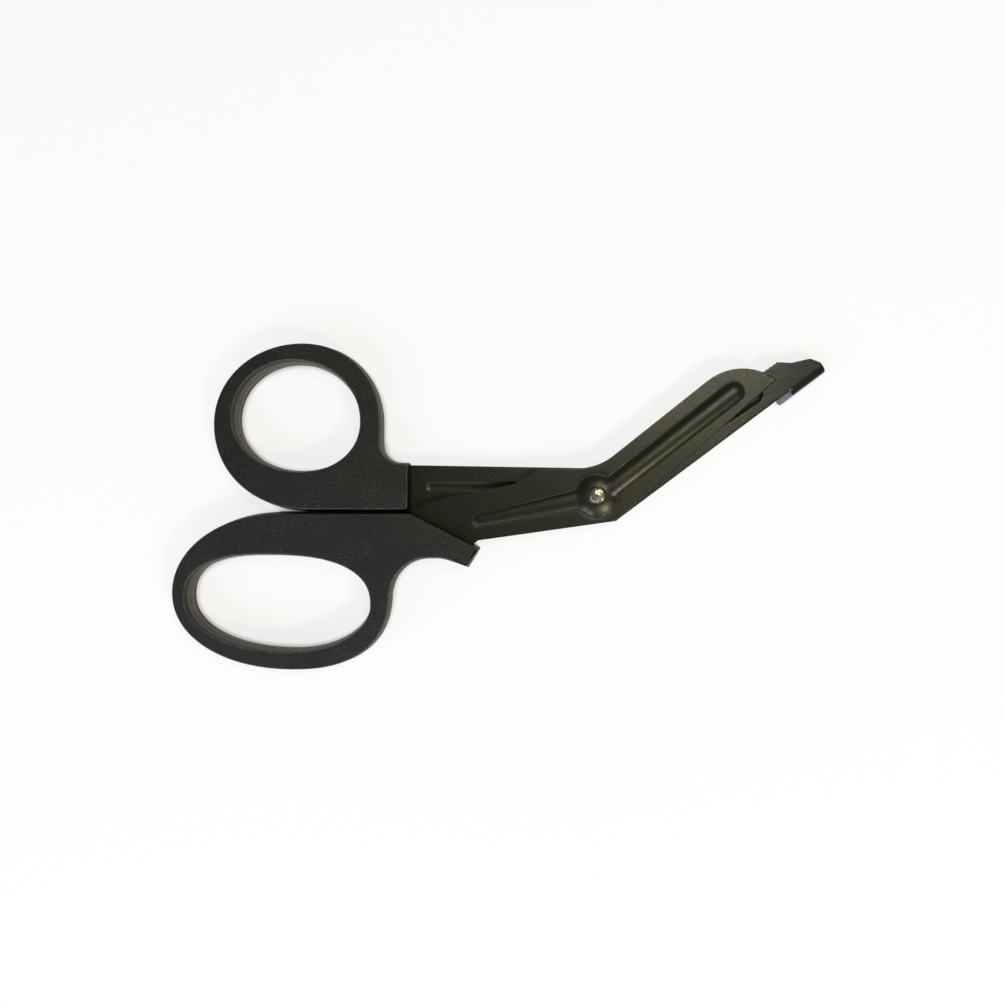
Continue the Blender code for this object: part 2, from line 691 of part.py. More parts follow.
def moulded(name, outline, hole, collection, carrier):
    """Moulded handle: drafted both ways from the parting line, with rounded edges at the flat faces."""
    work = bmesh.new()
    rims = {0: [], -1: []}
    section = moulded_section()
    for loop in (directed(outline, 1), directed(hole, -1)):
        rings = []
        for inset, height in section:
            ring = [work.verts.new((x, y, MIDDLE_Z + height)) for x, y in inset_loop(loop, inset)]
            rings.append(ring)
        for low, high in zip(rings, rings[1:]):
            for index in range(len(loop)):
                after = (index + 1) % len(loop)
                work.faces.new((low[index], low[after], high[after], high[index]))
        for end in rims:
            ring = rings[end]
            for index in range(len(loop)):
                rims[end].append(work.edges.get((ring[index], ring[(index + 1) % len(loop)])))
    for end, edges in rims.items():
        bmesh.ops.triangle_fill(work, edges=edges, use_beauty=True)
    bmesh.ops.recalc_face_normals(work, faces=work.faces)
    bmesh.ops.triangulate(work, faces=work.faces)
    mesh = bpy.data.meshes.new(name)
    work.to_mesh(mesh)
    work.free()
    return add_object(name, mesh, collection, carrier)


def cut_tang_space(handle, line, low_z, high_z, cutters, carrier):
    """Cut the flat pocket that the tang sits in, open at the front of the handle."""
    corners = tang_corners(line, TANG_WIDTH, TANG_CLEARANCE)
    tool = plate(f"{handle.name}_tang_space", [corners], low_z - TANG_CLEARANCE, high_z + TANG_CLEARANCE,
                 cutters, carrier)
    combine(handle, "DIFFERENCE", as_cutter(tool))


def build_thumb_handle(parts, cutters, carrier):
    hole_right = THUMB_FRONT_X - THUMB_HOLE_SETBACK
    hole_left = hole_right - THUMB_HOLE_WIDTH
    hole_bottom = THUMB_UNDERSIDE_Y + THUMB_WALL_BELOW
    hole_top = hole_bottom + THUMB_HOLE_HEIGHT
    hole = Oval((hole_left, hole_bottom), (hole_right, hole_top), THUMB_HOLE_TOUCH, THUMB_HOLE_FULLNESS)
    bow = Oval((hole_left - THUMB_WALL_BACK, THUMB_UNDERSIDE_Y),
               (hole_right + THUMB_WALL_FRONT, hole_top + THUMB_WALL_TOP),
               THUMB_OUTER_TOUCH, THUMB_OUTER_FULLNESS)
    outline = rounded([
        *bow.upper_left()[:-1],
        *bow.upper_right(),
        (bow.right[0], THUMB_NECK_TOP, THUMB_NECK_FILLET),
        (THUMB_FRONT_X, THUMB_NECK_TOP, THUMB_FRONT_TOP_RADIUS),
        (THUMB_FRONT_X, THUMB_UNDERSIDE_Y, THUMB_FRONT_BOTTOM_RADIUS),
        *bow.lower_left()[:-1],
    ])
    handle = moulded("thumb_handle", outline, hole.loop(), parts, carrier)
    cut_tang_space(handle, THUMB_TANG, REAR_OUTER_Z, REAR_INNER_Z, cutters, carrier)
    return handle


def build_finger_handle(parts, cutters, carrier):
    hole_right = FINGER_CORNER_X - FINGER_HOLE_SETBACK
    hole_left = hole_right - FINGER_HOLE_WIDTH
    hole_top = FINGER_TOP_Y - FINGER_WALL_ABOVE
    hole_bottom = hole_top - FINGER_HOLE_HEIGHT
    hole = Oval((hole_left, hole_bottom), (hole_right, hole_top), FINGER_HOLE_TOUCH, FINGER_HOLE_FULLNESS)
    bow = Oval((hole_left - FINGER_WALL_BACK, hole_bottom - FINGER_WALL_BELOW),
               (hole_right + FINGER_WALL_FRONT, FINGER_TOP_Y),
               FINGER_OUTER_TOUCH, FINGER_OUTER_FULLNESS)
    nub_top = SLANT.point(FINGER_SLANT_LENGTH)
    nub_bottom = Line(*nub_top, NUB_ANGLE).point(NUB_LENGTH)
    neck_front, neck_back = FINGER_NECK_FRONT, FINGER_NECK_BACK
    outline = rounded([
        (FINGER_CORNER_X, FINGER_TOP_Y, FINGER_CORNER_RADIUS),
        (*nub_top, NUB_CORNER_RADIUS),
        (*nub_bottom, NUB_CORNER_RADIUS),
        (nub_bottom[0] + neck_front[0], nub_bottom[1] + neck_front[1], neck_front[2]),
        (bow.right[0] + neck_back[0], nub_bottom[1] + neck_back[1], neck_back[2]),
        *bow.lower_right()[:-1],
        *bow.lower_left()[:-1],
        *bow.upper_left(),
    ])
    handle = moulded("finger_handle", outline, hole.loop(), parts, carrier)
    cut_tang_space(handle, FINGER_TANG, FRONT_INNER_Z, FRONT_OUTER_Z, cutters, carrier)
    return handle


def main():
    clear_scene()
    parts = make_collection("trauma_shears")
    cutters = make_collection("cutters")
    coated_steel = make_material("coated_steel", (0.045, 0.044, 0.032), 0.42, 0.6)
    plastic = make_material("black_plastic", (0.018, 0.018, 0.017), 0.55)
    steel = make_material("bright_steel", (0.62, 0.60, 0.56), 0.28, 1.0)
    rear_half = bpy.data.objects.new("rear_half", None)
    rear_half.location = (PIVOT_X, PIVOT_Y, 0.0)
    front_half = bpy.data.objects.new("front_half", None)
    front_half.parent = rear_half
    parts.objects.link(rear_half)
    parts.objects.link(front_half)
    finished(build_rear_blade(parts, cutters, rear_half), coated_steel)
    finished(build_thumb_handle(parts, cutters, rear_half), plastic)
    finished(build_rivet(parts, rear_half), steel)
    finished(build_front_blade(parts, cutters, front_half), coated_steel)
    finished(build_finger_handle(parts, cutters, front_half), plastic)


main()
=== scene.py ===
"""Looks of the bent trauma shears: finishes, fine surface forms, floor, light and camera."""

import json
import math

import bmesh
import bpy
import numpy as np
from mathutils import Matrix, Vector, noise
from mathutils.geometry import delaunay_2d_cdt

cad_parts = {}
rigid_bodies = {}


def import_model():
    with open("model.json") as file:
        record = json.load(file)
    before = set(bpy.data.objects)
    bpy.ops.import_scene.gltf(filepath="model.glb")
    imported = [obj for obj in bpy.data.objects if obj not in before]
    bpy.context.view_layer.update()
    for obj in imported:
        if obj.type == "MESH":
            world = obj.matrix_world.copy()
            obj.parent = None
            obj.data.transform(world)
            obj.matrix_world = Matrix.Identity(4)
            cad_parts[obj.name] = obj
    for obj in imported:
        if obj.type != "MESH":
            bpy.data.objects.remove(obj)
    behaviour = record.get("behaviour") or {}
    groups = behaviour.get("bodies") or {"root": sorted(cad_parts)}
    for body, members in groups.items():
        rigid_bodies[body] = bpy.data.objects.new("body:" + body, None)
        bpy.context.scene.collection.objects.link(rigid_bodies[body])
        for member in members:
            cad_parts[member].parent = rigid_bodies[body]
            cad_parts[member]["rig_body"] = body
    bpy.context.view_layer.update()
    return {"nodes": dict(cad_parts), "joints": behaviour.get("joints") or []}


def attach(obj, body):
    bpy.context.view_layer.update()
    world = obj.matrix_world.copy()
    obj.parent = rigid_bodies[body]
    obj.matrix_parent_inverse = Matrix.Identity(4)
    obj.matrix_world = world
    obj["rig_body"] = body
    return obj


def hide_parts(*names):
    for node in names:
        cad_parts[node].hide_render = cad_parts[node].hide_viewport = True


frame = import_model()

# Photograph: its size and the pivot's place in pixels, and the distance it was taken from in metres.
IMAGE_WIDTH = 1005
IMAGE_HEIGHT = 1006
MM_PER_PIXEL = 0.2919
PIVOT_PIXEL = (596.0, 495.7)
CAMERA_DISTANCE = 0.238
SENSOR_WIDTH = 36.0

PIVOT = Vector(frame["joints"][0]["pos_m"])
BLADE_PLANE_Z = PIVOT.z

# Sheet steel, as in the part. All outlines are in metres from the pivot axis.
SHEET = 0.0015
BLADE_GAP = 0.0003
FRONT_INNER_Z = BLADE_PLANE_Z + BLADE_GAP / 2
FRONT_OUTER_Z = FRONT_INNER_Z + SHEET
REAR_INNER_Z = BLADE_PLANE_Z - BLADE_GAP / 2
REAR_OUTER_Z = REAR_INNER_Z - SHEET
HEEL = (0.0057, -0.00735)
SHANK_TOP = 0.0079

# Front blade.
FRONT_EDGE_LENGTH = 0.0620
FRONT_EDGE_ANGLE = math.radians(41.4)
FRONT_SPINE_START_X = 0.0003
FRONT_SPINE_ANGLE = math.radians(38.5)
FRONT_BEND_RADIUS = 0.0180
TIP_ANGLE = math.radians(33.0)
SHOULDER_RADIUS = 0.0162
FRONT_SHANK_CURVE = ((-0.0470, -0.0014, 0.030), (-0.0240, 0.0033, 0.010), (-0.0168, 0.0078, 0.006))
FRONT_SHANK_FOOT = (-0.0344, -0.0130)
FRONT_SHANK_TOP_MARGIN = -0.0002
FRONT_SHANK_NUB_MARGIN = 0.0021

# Rear blade and its folded foot.
REAR_HEEL = (0.00575, -0.00745)
REAR_EDGE_START_X = 0.0070
REAR_EDGE_LENGTH = 0.0555
REAR_EDGE_ANGLE = math.radians(34.1)
REAR_SPINE_ANGLE = math.radians(36.8)
REAR_SHANK_TOP_RISE = 0.0010
REAR_SHANK_BOTTOM = -0.00468
REAR_SHANK_CURVE = ((-0.0350, -0.0052, 0.030), (-0.0150, -0.0070, 0.030))
TOOTH_COUNT = 44
TOOTH_DEPTH = 0.00025
FOOT_START = 0.0645
FOOT_LENGTH = 0.0112
FOOT_BEND_RADIUS = 0.00085
FOOT_FOLD_INSET = 0.0004
FOOT_TAB_LENGTH = 0.0047
FOOT_CORNER_RADIUS = 0.0012
FOOT_RELIEF = 0.0008
FOOT_TAB_RISE = 0.0002
FOOT_TOE_RISE = 0.0009
FOOT_TOP_FRONT = (0.0095, 0.0040, 0.0016)
FOOT_TOP_BACK = (0.0043, 0.0063, 0.0030)
FOOT_BEND_LENGTH = math.pi / 2 * (FOOT_BEND_RADIUS + SHEET / 2)

# Pressed forms. The long beads are given by start, angle, length, and height as a share of the full
# height, and the shanks' tapering beads by start, end, both half widths and the same share.
BEAD_HALF = 0.0029
BEAD_END_HALF = 0.0015
BEAD_RISE_RATIO = 0.60
SHANK_BEAD_SHARE = 0.58
BOSS_RADIUS = 0.0059
BOSS_RISE = 0.0012
BOSS_CROWN = 2.5
FRONT_BEAD = ((0.0047, 0.0026), math.radians(37.9), 0.0444, 0.85)
REAR_BEAD = ((0.0055, 0.0025), math.radians(33.8), 0.0487, 0.6)
SHANK_BEAD_FORM = (BEAD_END_HALF, BEAD_HALF, SHANK_BEAD_SHARE)
FRONT_SHANK_BEAD = ((-0.0341, -0.0072), (-0.0040, -0.0010), *SHANK_BEAD_FORM)
REAR_SHANK_BEAD = ((-0.0481, 0.0027), (-0.0045, 0.0010), *SHANK_BEAD_FORM)
FOOT_LINE_REACH = 0.00008
JOINT_FILLET = 0.0007
CREASE_DEPTH = 0.00009
CREASE_WIDTH = 0.00016

# Rivet.
RIVET_SHANK_RADIUS = 0.0015
RIVET_HEAD_RADIUS = 0.0022
RIVET_HEAD_HEIGHT = 0.0008
RIVET_EDGE_HEIGHT = 0.00045
RIVET_CROWN = 2.6
RIVET_RINGS = 16
RIVET_STEPS = 96
RIVET_MARK_SIZE = 0.0006
RIVET_MARK_DEPTH = 0.00006
SEAT_GAP = 0.0003
RIVET_HOLE_RADIUS = 0.00165
SEAT_RADIUS = 0.0026
SEAT_DEPTH = 0.00025

# Fineness of the sheets, and their rolled rims and ground edges.
GRID = 0.00045
GRID_ROOM = GRID * 0.6
FOOT_ROOM = 0.00009
FOOT_OFFSETS = (-0.0013, -0.0007, -0.0004, -0.0002, 0.0, 0.00015, 0.0003, 0.0006)
BEAD_END_STEPS = 16
BOSS_STEPS = 72
SEAT_RINGS = (SEAT_RADIUS - 0.0001, SEAT_RADIUS, SEAT_RADIUS + 0.00015)
SEAT_STEPS = 48
HOLE_STEPS = 32
FOOT_BEND_ROWS = 10
ROLL = 0.00012
ROLL_DROP = 0.00004
FRONT_BEVEL = 0.0003
REAR_BEVEL = 0.0006
FRONT_GRIND_DEPTH = 0.0003
REAR_GRIND_DEPTH = 0.0009
CORNER_TOLERANCE = 0.0000005
WELD_DISTANCE = 0.000001
BLADE_SHARP_ANGLE = 35.0

# Both handles. Heights are counted from the blade plane. A lip closes the gap where an outline keeps to
# the split line.
HANDLE_THICKNESS = 0.0100
HANDLE_DRAFT = 0.0005
HANDLE_EDGE_RADIUS = 0.00045
HANDLE_EDGE_STEPS = 6
QUARTER_STEPS = 40
PARTING_LAND = 0.0004
PARTING_STEP = 0.00005
HANDLE_GAP = 0.0003
HANDLE_SPLIT_Y = -0.0046
SPLIT_TOLERANCE = 0.000001
LIP_REACH = 0.0002
LIP_LEVELS = (0.00004, 0.0002)
HANDLE_SHARP_ANGLE = 40.0
NORMAL_WEIGHT = 100

# Hidden roots of the shanks and tangs inside the handles.
ROOT_DEPTH = 0.0016
SHOULDER_GAP = 0.00035
TANG_LENGTH = 0.0200
TANG_WIDTH = 0.0070
THUMB_TANG_Y = 0.0022
FINGER_TANG_SHARE = 0.53
FINGER_TANG_ANGLE = math.radians(184)

# Each bow is made of two ovals, its hole and its outer side. An oval's TOUCH gives where it touches its
# box, as shares of the box's width or height: on the top, the right, the bottom and the left. Its
# FULLNESS gives how square its quarters are, from the upper left round to the lower left.

# Thumb handle.
THUMB_FRONT_X = -0.0540
THUMB_NECK_TOP = 0.0096
THUMB_NECK_FILLET = 0.0054
THUMB_FRONT_TOP_RADIUS = 0.0008
THUMB_FRONT_BOTTOM_RADIUS = 0.0014
THUMB_HOLE_SIZE = (0.0357, 0.0310)
THUMB_HOLE_SETBACK = 0.0146
THUMB_HOLE_TOUCH = (0.476, 0.449, 0.529, 0.490)
THUMB_HOLE_FULLNESS = (2.01, 2.06, 2.11, 2.06)
THUMB_WALL_BELOW = 0.0117
THUMB_WALL_TOP = 0.0058
THUMB_WALL_BACK = 0.0061
THUMB_WALL_FRONT = 0.0067
THUMB_OUTER_TOUCH = (0.533, 0.536, 0.558, 0.514)
THUMB_OUTER_FULLNESS = (2.02, 2.06, 2.00, 2.08)

# Finger handle.
FINGER_CORNER_X = -0.0537
FINGER_CORNER_RADIUS = 0.0006
FINGER_SLANT_LENGTH = 0.0226
FINGER_SLANT_ANGLE = math.radians(-27.2)
NUB_LENGTH = 0.0068
NUB_ANGLE = math.radians(-121.5)
NUB_CORNER_RADIUS = 0.0004
FINGER_NECK_FRONT = (-0.0075, 0.0026, 0.010)
FINGER_NECK_BACK = (0.0026, 0.0026, 0.0105)
FINGER_HOLE_SIZE = (0.0522, 0.0272)
FINGER_HOLE_SETBACK = 0.0120
FINGER_HOLE_TOUCH = (0.414, 0.476, 0.577, 0.559)
FINGER_HOLE_FULLNESS = (2.44, 2.50, 1.97, 2.12)
FINGER_WALL_ABOVE = 0.01255
FINGER_WALL_BELOW = 0.0058
FINGER_WALL_BACK = 0.0045
FINGER_WALL_FRONT = 0.0063
FINGER_OUTER_TOUCH = (0.484, 0.480, 0.564, 0.496)
FINGER_OUTER_FULLNESS = (2.00, 2.00, 2.34, 2.11)

# Plastic: colours, sizes of its markings in metres, and the heights and places over which they fade.
# Its pale flecks on top are painted glints, its side colour is painted shade, its pale line on the top
# edge is a painted highlight, and its pale band near the parting line is painted bounce light.
PLASTIC_COOL = (0.0033, 0.0035, 0.0033, 1.0)
PLASTIC_WARM = (0.0062, 0.0062, 0.0053, 1.0)
PLASTIC_GLINT = (0.050, 0.049, 0.039, 1.0)
PLASTIC_SIDE_SHADE = (0.0030, 0.0032, 0.0040, 1.0)
PLASTIC_EDGE_HIGHLIGHT = (0.150, 0.145, 0.122, 1.0)
PLASTIC_BOUNCE_LIGHT = (0.150, 0.130, 0.098, 1.0)
GRAIN_SIZE = 0.00045
GRAIN_HEIGHT = 0.00014
WAVE_SIZE = 0.0035
WAVE_HEIGHT = 0.00010
CLOUD_SIZE = 0.012
GLINT_PATCH_SIZE = 0.010
HIGHLIGHT_BREAK_SIZE = 0.0016
BOUNCE_PATCH_SIZE = 0.004
SIDE_BAND = (0.0040, 0.0047)
EDGE_HIGHLIGHT_HEIGHTS = (0.00476, 0.00490, 0.00499)
BOUNCE_BAND = (0.0024, 0.0034)
BOUNCE_END = (-0.0330, -0.0285)
SIDE_GLOSS = 0.10
TOP_GLOSS = 0.40

# Coating: the same, with painted shade on the rear blade's far end and on its bend, a pale painted
# reflection on its tab, and a painted shadow line along the front blade's cutting edge.
COATING_GREEN = (0.044, 0.047, 0.036, 1.0)
COATING_BROWN = (0.058, 0.056, 0.041, 1.0)
COATING_SCUFF = (0.024, 0.025, 0.023, 1.0)
TOE_PAINTED_SHADE = (0.018, 0.019, 0.020, 1.0)
BEND_PAINTED_SHADE = (0.005, 0.006, 0.011, 1.0)
TAB_REFLECTION_COLOUR = (0.34, 0.39, 0.52, 1.0)
EDGE_SHADOW_COLOUR = (0.004, 0.004, 0.004, 1.0)
DRIFT_SIZE = 0.022
MOTTLE_SIZE = 0.0011
SCUFF_SHARE = 0.35
COATING_GRAIN_SIZE = 0.00040
COATING_GRAIN_HEIGHT = 0.00004
COATING_GRAIN_STRENGTH = 0.8
COATING_METAL = 0.80
COATING_GLOSS = 0.40
TOE_SHADE = 0.65
TOE_RANGE = (0.062, 0.088)
BEND_START = 0.0785
BEND_HEIGHTS = (0.0040, 0.0047)
TAB_REFLECTION_HEIGHTS = (0.00205, 0.00225, 0.00275, 0.00295)
TAB_REFLECTION_ROUGHNESS = 0.90
EDGE_SHADOW_WIDTH = 0.00045
EDGE_SHADOW_START = 0.014

# Rivet steel.
RIVET_SPOT = (0.13, 0.09, 0.05, 1.0)
RIVET_BRIGHT = (0.55, 0.52, 0.41, 1.0)
SPOT_SIZE = 0.0010
SCRATCH_SIZE = 0.0003
SCRATCH_HEIGHT = 0.00003

# Floor: its glow to the eye, and the reach of its contact shadow with the openness at which it is full
# and at which it is gone.
WHITE = (1.0, 1.0, 1.0, 1.0)
FLOOR_COLOUR = (0.85, 0.85, 0.85, 1.0)
FLOOR_SIZE = 6.0
FLOOR_GLOW = 1.10
FLOOR_GLOW_SHARE = 0.72
CONTACT_REACH = 0.0025
CONTACT_SHADE = (0.30, 0.75)

# Studio: the strength of its walls at one rise above the horizon and of its ceiling at another, and its
# lamps as name, azimuth, elevation, size, power and colour.
STUDIO_RISE = (0.15, 0.85)
STUDIO_STRENGTH = (0.28, 0.055)
LAMPS = (
    ("warm_top", 50.0, 67.0, 0.24, 2.2, (1.0, 0.96, 0.78)),
    ("warm_side", -50.0, 48.0, 0.18, 3.6, (1.0, 0.90, 0.66)),
    ("cool_low", -105.0, 38.0, 0.26, 2.4, (0.50, 0.72, 1.0)),
    ("window", -145.0, 34.0, 0.80, 3.2, (0.90, 0.95, 1.0)),
)


class Line:
    """A straight line in the plane, to place points along it and beside it."""

    def __init__(self, x, y, angle):
        self.angle = angle
        self.start = Vector((x, y))
        self.along = Vector((math.cos(angle), math.sin(angle)))
        self.left = Vector((-math.sin(angle), math.cos(angle)))

    def point(self, distance, offset=0.0):
        spot = self.start + self.along * distance + self.left * offset
        return (spot.x, spot.y)

    def meets(self, other):
        """Distance along this line at which it meets another line."""
        between = other.start - self.start
        return between.cross(other.along) / self.along.cross(other.along)


THUMB_UNDERSIDE_Y = HANDLE_SPLIT_Y + HANDLE_GAP / 2
FINGER_TOP_Y = HANDLE_SPLIT_Y - HANDLE_GAP / 2
FRONT_EDGE = Line(*HEEL, FRONT_EDGE_ANGLE)
FRONT_SPINE = Line(FRONT_SPINE_START_X, SHANK_TOP, FRONT_SPINE_ANGLE)
REAR_EDGE = Line(REAR_EDGE_START_X, SHANK_TOP, REAR_EDGE_ANGLE)
REAR_SPINE = Line(*REAR_HEEL, REAR_SPINE_ANGLE)
SLANT = Line(FINGER_CORNER_X, FINGER_TOP_Y, FINGER_SLANT_ANGLE)
FOLD = Line(*REAR_SPINE.point(0.0, FOOT_FOLD_INSET), REAR_SPINE_ANGLE)
THUMB_TANG = Line(THUMB_FRONT_X, THUMB_TANG_Y, math.pi)
FINGER_TANG = Line(*SLANT.point(FINGER_SLANT_LENGTH * FINGER_TANG_SHARE), FINGER_TANG_ANGLE)


def rounded(corners, steps=10):
    """Outline points for corners given as (x, y) or (x, y, radius), each radius turned into an arc."""
    points = []
    for index, corner in enumerate(corners):
        here = Vector(corner[:2])
        radius = corner[2] if len(corner) > 2 else 0.0
        if radius <= 0.0:
            points.append((here.x, here.y))
            continue
        before = Vector(corners[index - 1][:2]) - here
        after = Vector(corners[(index + 1) % len(corners)][:2]) - here
        half_angle = before.angle(after) / 2
        reach = radius / math.tan(half_angle)
        middle = (before.normalized() + after.normalized()).normalized()
        centre = here + middle * (radius / math.sin(half_angle))
        first = here + before.normalized() * reach - centre
        sweep = first.angle_signed(here + after.normalized() * reach - centre)
        for step in range(steps + 1):
            turned = Matrix.Rotation(-sweep * step / steps, 2) @ first
            points.append((centre.x + turned.x, centre.y + turned.y))
    return points


def directed(loop, sense=1):
    """The loop, turned round if needed to run counter-clockwise for a sense of 1."""
    pairs = zip(loop, loop[1:] + loop[:1])
    area = sum(here[0] * after[1] - after[0] * here[1] for here, after in pairs)
    return loop if area * sense > 0 else loop[::-1]


def inset_loop(loop, inset):
    """The loop moved to its left by the inset, with its corners kept square."""
    moved = []
    for index, spot in enumerate(loop):
        before = (Vector(spot) - Vector(loop[index - 1])).normalized()
        after = (Vector(loop[(index + 1) % len(loop)]) - Vector(spot)).normalized()
        shift = (before + after).orthogonal() / (1 + before.dot(after))
        moved.append((spot[0] + shift.x * inset, spot[1] + shift.y * inset))
    return moved


def finely(loop, step):
    """The loop with points added so that no stretch is longer than the step."""
    points = []
    for here, after in zip(loop, loop[1:] + loop[:1]):
        length = math.dist(here, after)
        parts = max(math.ceil(length / step), 1)
        for part in range(parts):
            share = part / parts
            x = here[0] + (after[0] - here[0]) * share
            y = here[1] + (after[1] - here[1]) * share
            points.append((x, y))
    return points


def tang_outline(line, face):
    """Tang corners from its lower root on the face line, round its end, to its upper root."""
    back_lower = line.point(TANG_LENGTH, TANG_WIDTH / 2)
    back_upper = line.point(TANG_LENGTH, -TANG_WIDTH / 2)
    lower = Line(*back_lower, line.angle)
    upper = Line(*back_upper, line.angle)
    return [lower.point(lower.meets(face)), back_lower, back_upper, upper.point(upper.meets(face))]


def front_outline():
    tip = FRONT_EDGE.point(FRONT_EDGE_LENGTH)
    slope = Line(*tip, math.pi - TIP_ANGLE)
    shoulder = slope.point(slope.meets(FRONT_SPINE))
    root = Line(*SLANT.point(0.0, -ROOT_DEPTH), FINGER_SLANT_ANGLE)
    return rounded([
        root.point(FRONT_SHANK_TOP_MARGIN),
        SLANT.point(FRONT_SHANK_TOP_MARGIN, SHOULDER_GAP),
        *FRONT_SHANK_CURVE,
        (FRONT_SPINE_START_X, SHANK_TOP, FRONT_BEND_RADIUS),
        (*shoulder, SHOULDER_RADIUS),
        tip,
        HEEL,
        FRONT_SHANK_FOOT,
        SLANT.point(FINGER_SLANT_LENGTH - FRONT_SHANK_NUB_MARGIN, SHOULDER_GAP),
        root.point(FINGER_SLANT_LENGTH - FRONT_SHANK_NUB_MARGIN),
        *tang_outline(FINGER_TANG, root),
    ])


def serrated_edge():
    """Points of the rear cutting edge from its far end back to its start, with a notch for each tooth."""
    pitch = REAR_EDGE_LENGTH / TOOTH_COUNT
    points = []
    for tooth in range(TOOTH_COUNT, 0, -1):
        points.append(REAR_EDGE.point(tooth * pitch))
        points.append(REAR_EDGE.point((tooth - 0.5) * pitch, -TOOTH_DEPTH))
    return points + [REAR_EDGE.point(0.0)]


def foot_corner(corner):
    distance, offset, radius = corner
    return (*REAR_SPINE.point(FOOT_START + distance, offset), radius)


def rear_outline():
    """Flat blank of the rear blade, with the foot not yet folded."""
    fold = FOOT_FOLD_INSET
    bend_end = fold - FOOT_BEND_LENGTH + FOOT_TAB_RISE
    bottom = fold - FOOT_BEND_LENGTH - (REAR_OUTER_Z - FOOT_BEND_RADIUS)
    end = FOOT_START + FOOT_LENGTH
    tab = FOOT_START - FOOT_TAB_LENGTH
    root = Line(THUMB_FRONT_X - ROOT_DEPTH, 0.0, math.pi / 2)
    return rounded([
        REAR_HEEL,
        REAR_SPINE.point(FOOT_START - FOOT_RELIEF),
        REAR_SPINE.point(FOOT_START - FOOT_RELIEF, fold),
        REAR_SPINE.point(FOOT_START, fold),
        REAR_SPINE.point(FOOT_START, bend_end),
        (*REAR_SPINE.point(tab, bend_end), FOOT_CORNER_RADIUS / 2),
        (*REAR_SPINE.point(tab, bottom), FOOT_CORNER_RADIUS),
        (*REAR_SPINE.point(end, bottom), FOOT_CORNER_RADIUS),
        (*REAR_SPINE.point(end, fold + FOOT_TOE_RISE), FOOT_CORNER_RADIUS / 2),
        foot_corner(FOOT_TOP_FRONT),
        foot_corner(FOOT_TOP_BACK),
        *serrated_edge(),
        (THUMB_FRONT_X + SHOULDER_GAP, SHANK_TOP + REAR_SHANK_TOP_RISE),
        root.point(SHANK_TOP + REAR_SHANK_TOP_RISE),
        *reversed(tang_outline(THUMB_TANG, root)),
        root.point(REAR_SHANK_BOTTOM),
        (THUMB_FRONT_X + SHOULDER_GAP, REAR_SHANK_BOTTOM),
        *REAR_SHANK_CURVE,
    ])


def straight_bead(bead):
    """Start, end, half widths and height share of a bead given by its start, angle, length and share."""
    start, angle, length, share = bead
    return (start, Line(*start, angle).point(length), BEAD_HALF, BEAD_HALF, share)


def place_on_bead(x, y, bead):
    """Distance of points from a bead's middle line, and the bead's half width beside them."""
    start, end, start_half, end_half = bead[:4]
    run = Vector(end) - Vector(start)
    share = ((x - start[0]) * run.x + (y - start[1]) * run.y) / run.length_squared
    share = np.clip(share, 0.0, 1.0)
    away = np.hypot(x - start[0] - run.x * share, y - start[1] - run.y * share)
    return away, start_half + (end_half - start_half) * share


def soft_max(first, second, reach):
    """Larger of two heights, with a fillet where they cross."""
    gap = np.maximum(reach - np.abs(first - second), 0.0)
    return np.maximum(first, second) + gap ** 2 / (4 * reach)


def press_height(x, y, beads):
    """Height of the beads and the boss above the flat sheet, with a fine crease round their feet."""
    radius = np.hypot(x, y)
    form = BOSS_RISE * (1 - (radius / BOSS_RADIUS) ** BOSS_CROWN)
    half_sheet_reach = SHEET / 2 / BEAD_RISE_RATIO
    for bead in beads:
        away, half = place_on_bead(x, y, bead)
        arch = half ** 2 + half_sheet_reach ** 2 - away ** 2
        rise = bead[4] * (BEAD_RISE_RATIO * np.sqrt(np.maximum(arch, 0.0)) - SHEET / 2)
        form = soft_max(form, rise, JOINT_FILLET)
    crease = CREASE_DEPTH * np.exp(-((form + CREASE_WIDTH / 2) / CREASE_WIDTH) ** 2)
    return soft_max(form, 0.0 * form, FOOT_LINE_REACH) - crease


def foot_points(beads):
    """Points close to the feet of the pressed forms, and round the rivet's seat."""
    points = []
    for offset in FOOT_OFFSETS:
        for start, end, start_half, end_half, _ in beads:
            line = Line(*start, math.atan2(end[1] - start[1], end[0] - start[0]))
            length = math.dist(start, end)
            count = round(length / GRID)
            for step in range(count + 1):
                share = step / count
                half = start_half + (end_half - start_half) * share + offset
                points += [line.point(length * share, half), line.point(length * share, -half)]
            for centre, half, turn in ((start, start_half, math.pi), (end, end_half, 0.0)):
                for step in range(1, BEAD_END_STEPS):
                    angle = line.angle + turn + math.pi * (step / BEAD_END_STEPS - 0.5)
                    points.append((centre[0] + math.cos(angle) * (half + offset),
                                   centre[1] + math.sin(angle) * (half + offset)))
        points += circle(BOSS_RADIUS + offset, BOSS_STEPS)
    for radius in SEAT_RINGS:
        points += circle(radius, SEAT_STEPS)
    return points


def circle(radius, count):
    angles = [math.tau * step / count for step in range(count)]
    return [(radius * math.cos(angle), radius * math.sin(angle)) for angle in angles]


def inside_loop(x, y, loop):
    """Which of the points lie inside the loop."""
    inside = np.zeros(x.shape, bool)
    for (x0, y0), (x1, y1) in zip(loop, loop[1:] + loop[:1]):
        crosses = (y0 > y) != (y1 > y)
        reach = (x1 - x0) * (y - y0) / (y1 - y0 if y1 != y0 else 1.0) + x0
        inside ^= crosses & (x < reach)
    return inside


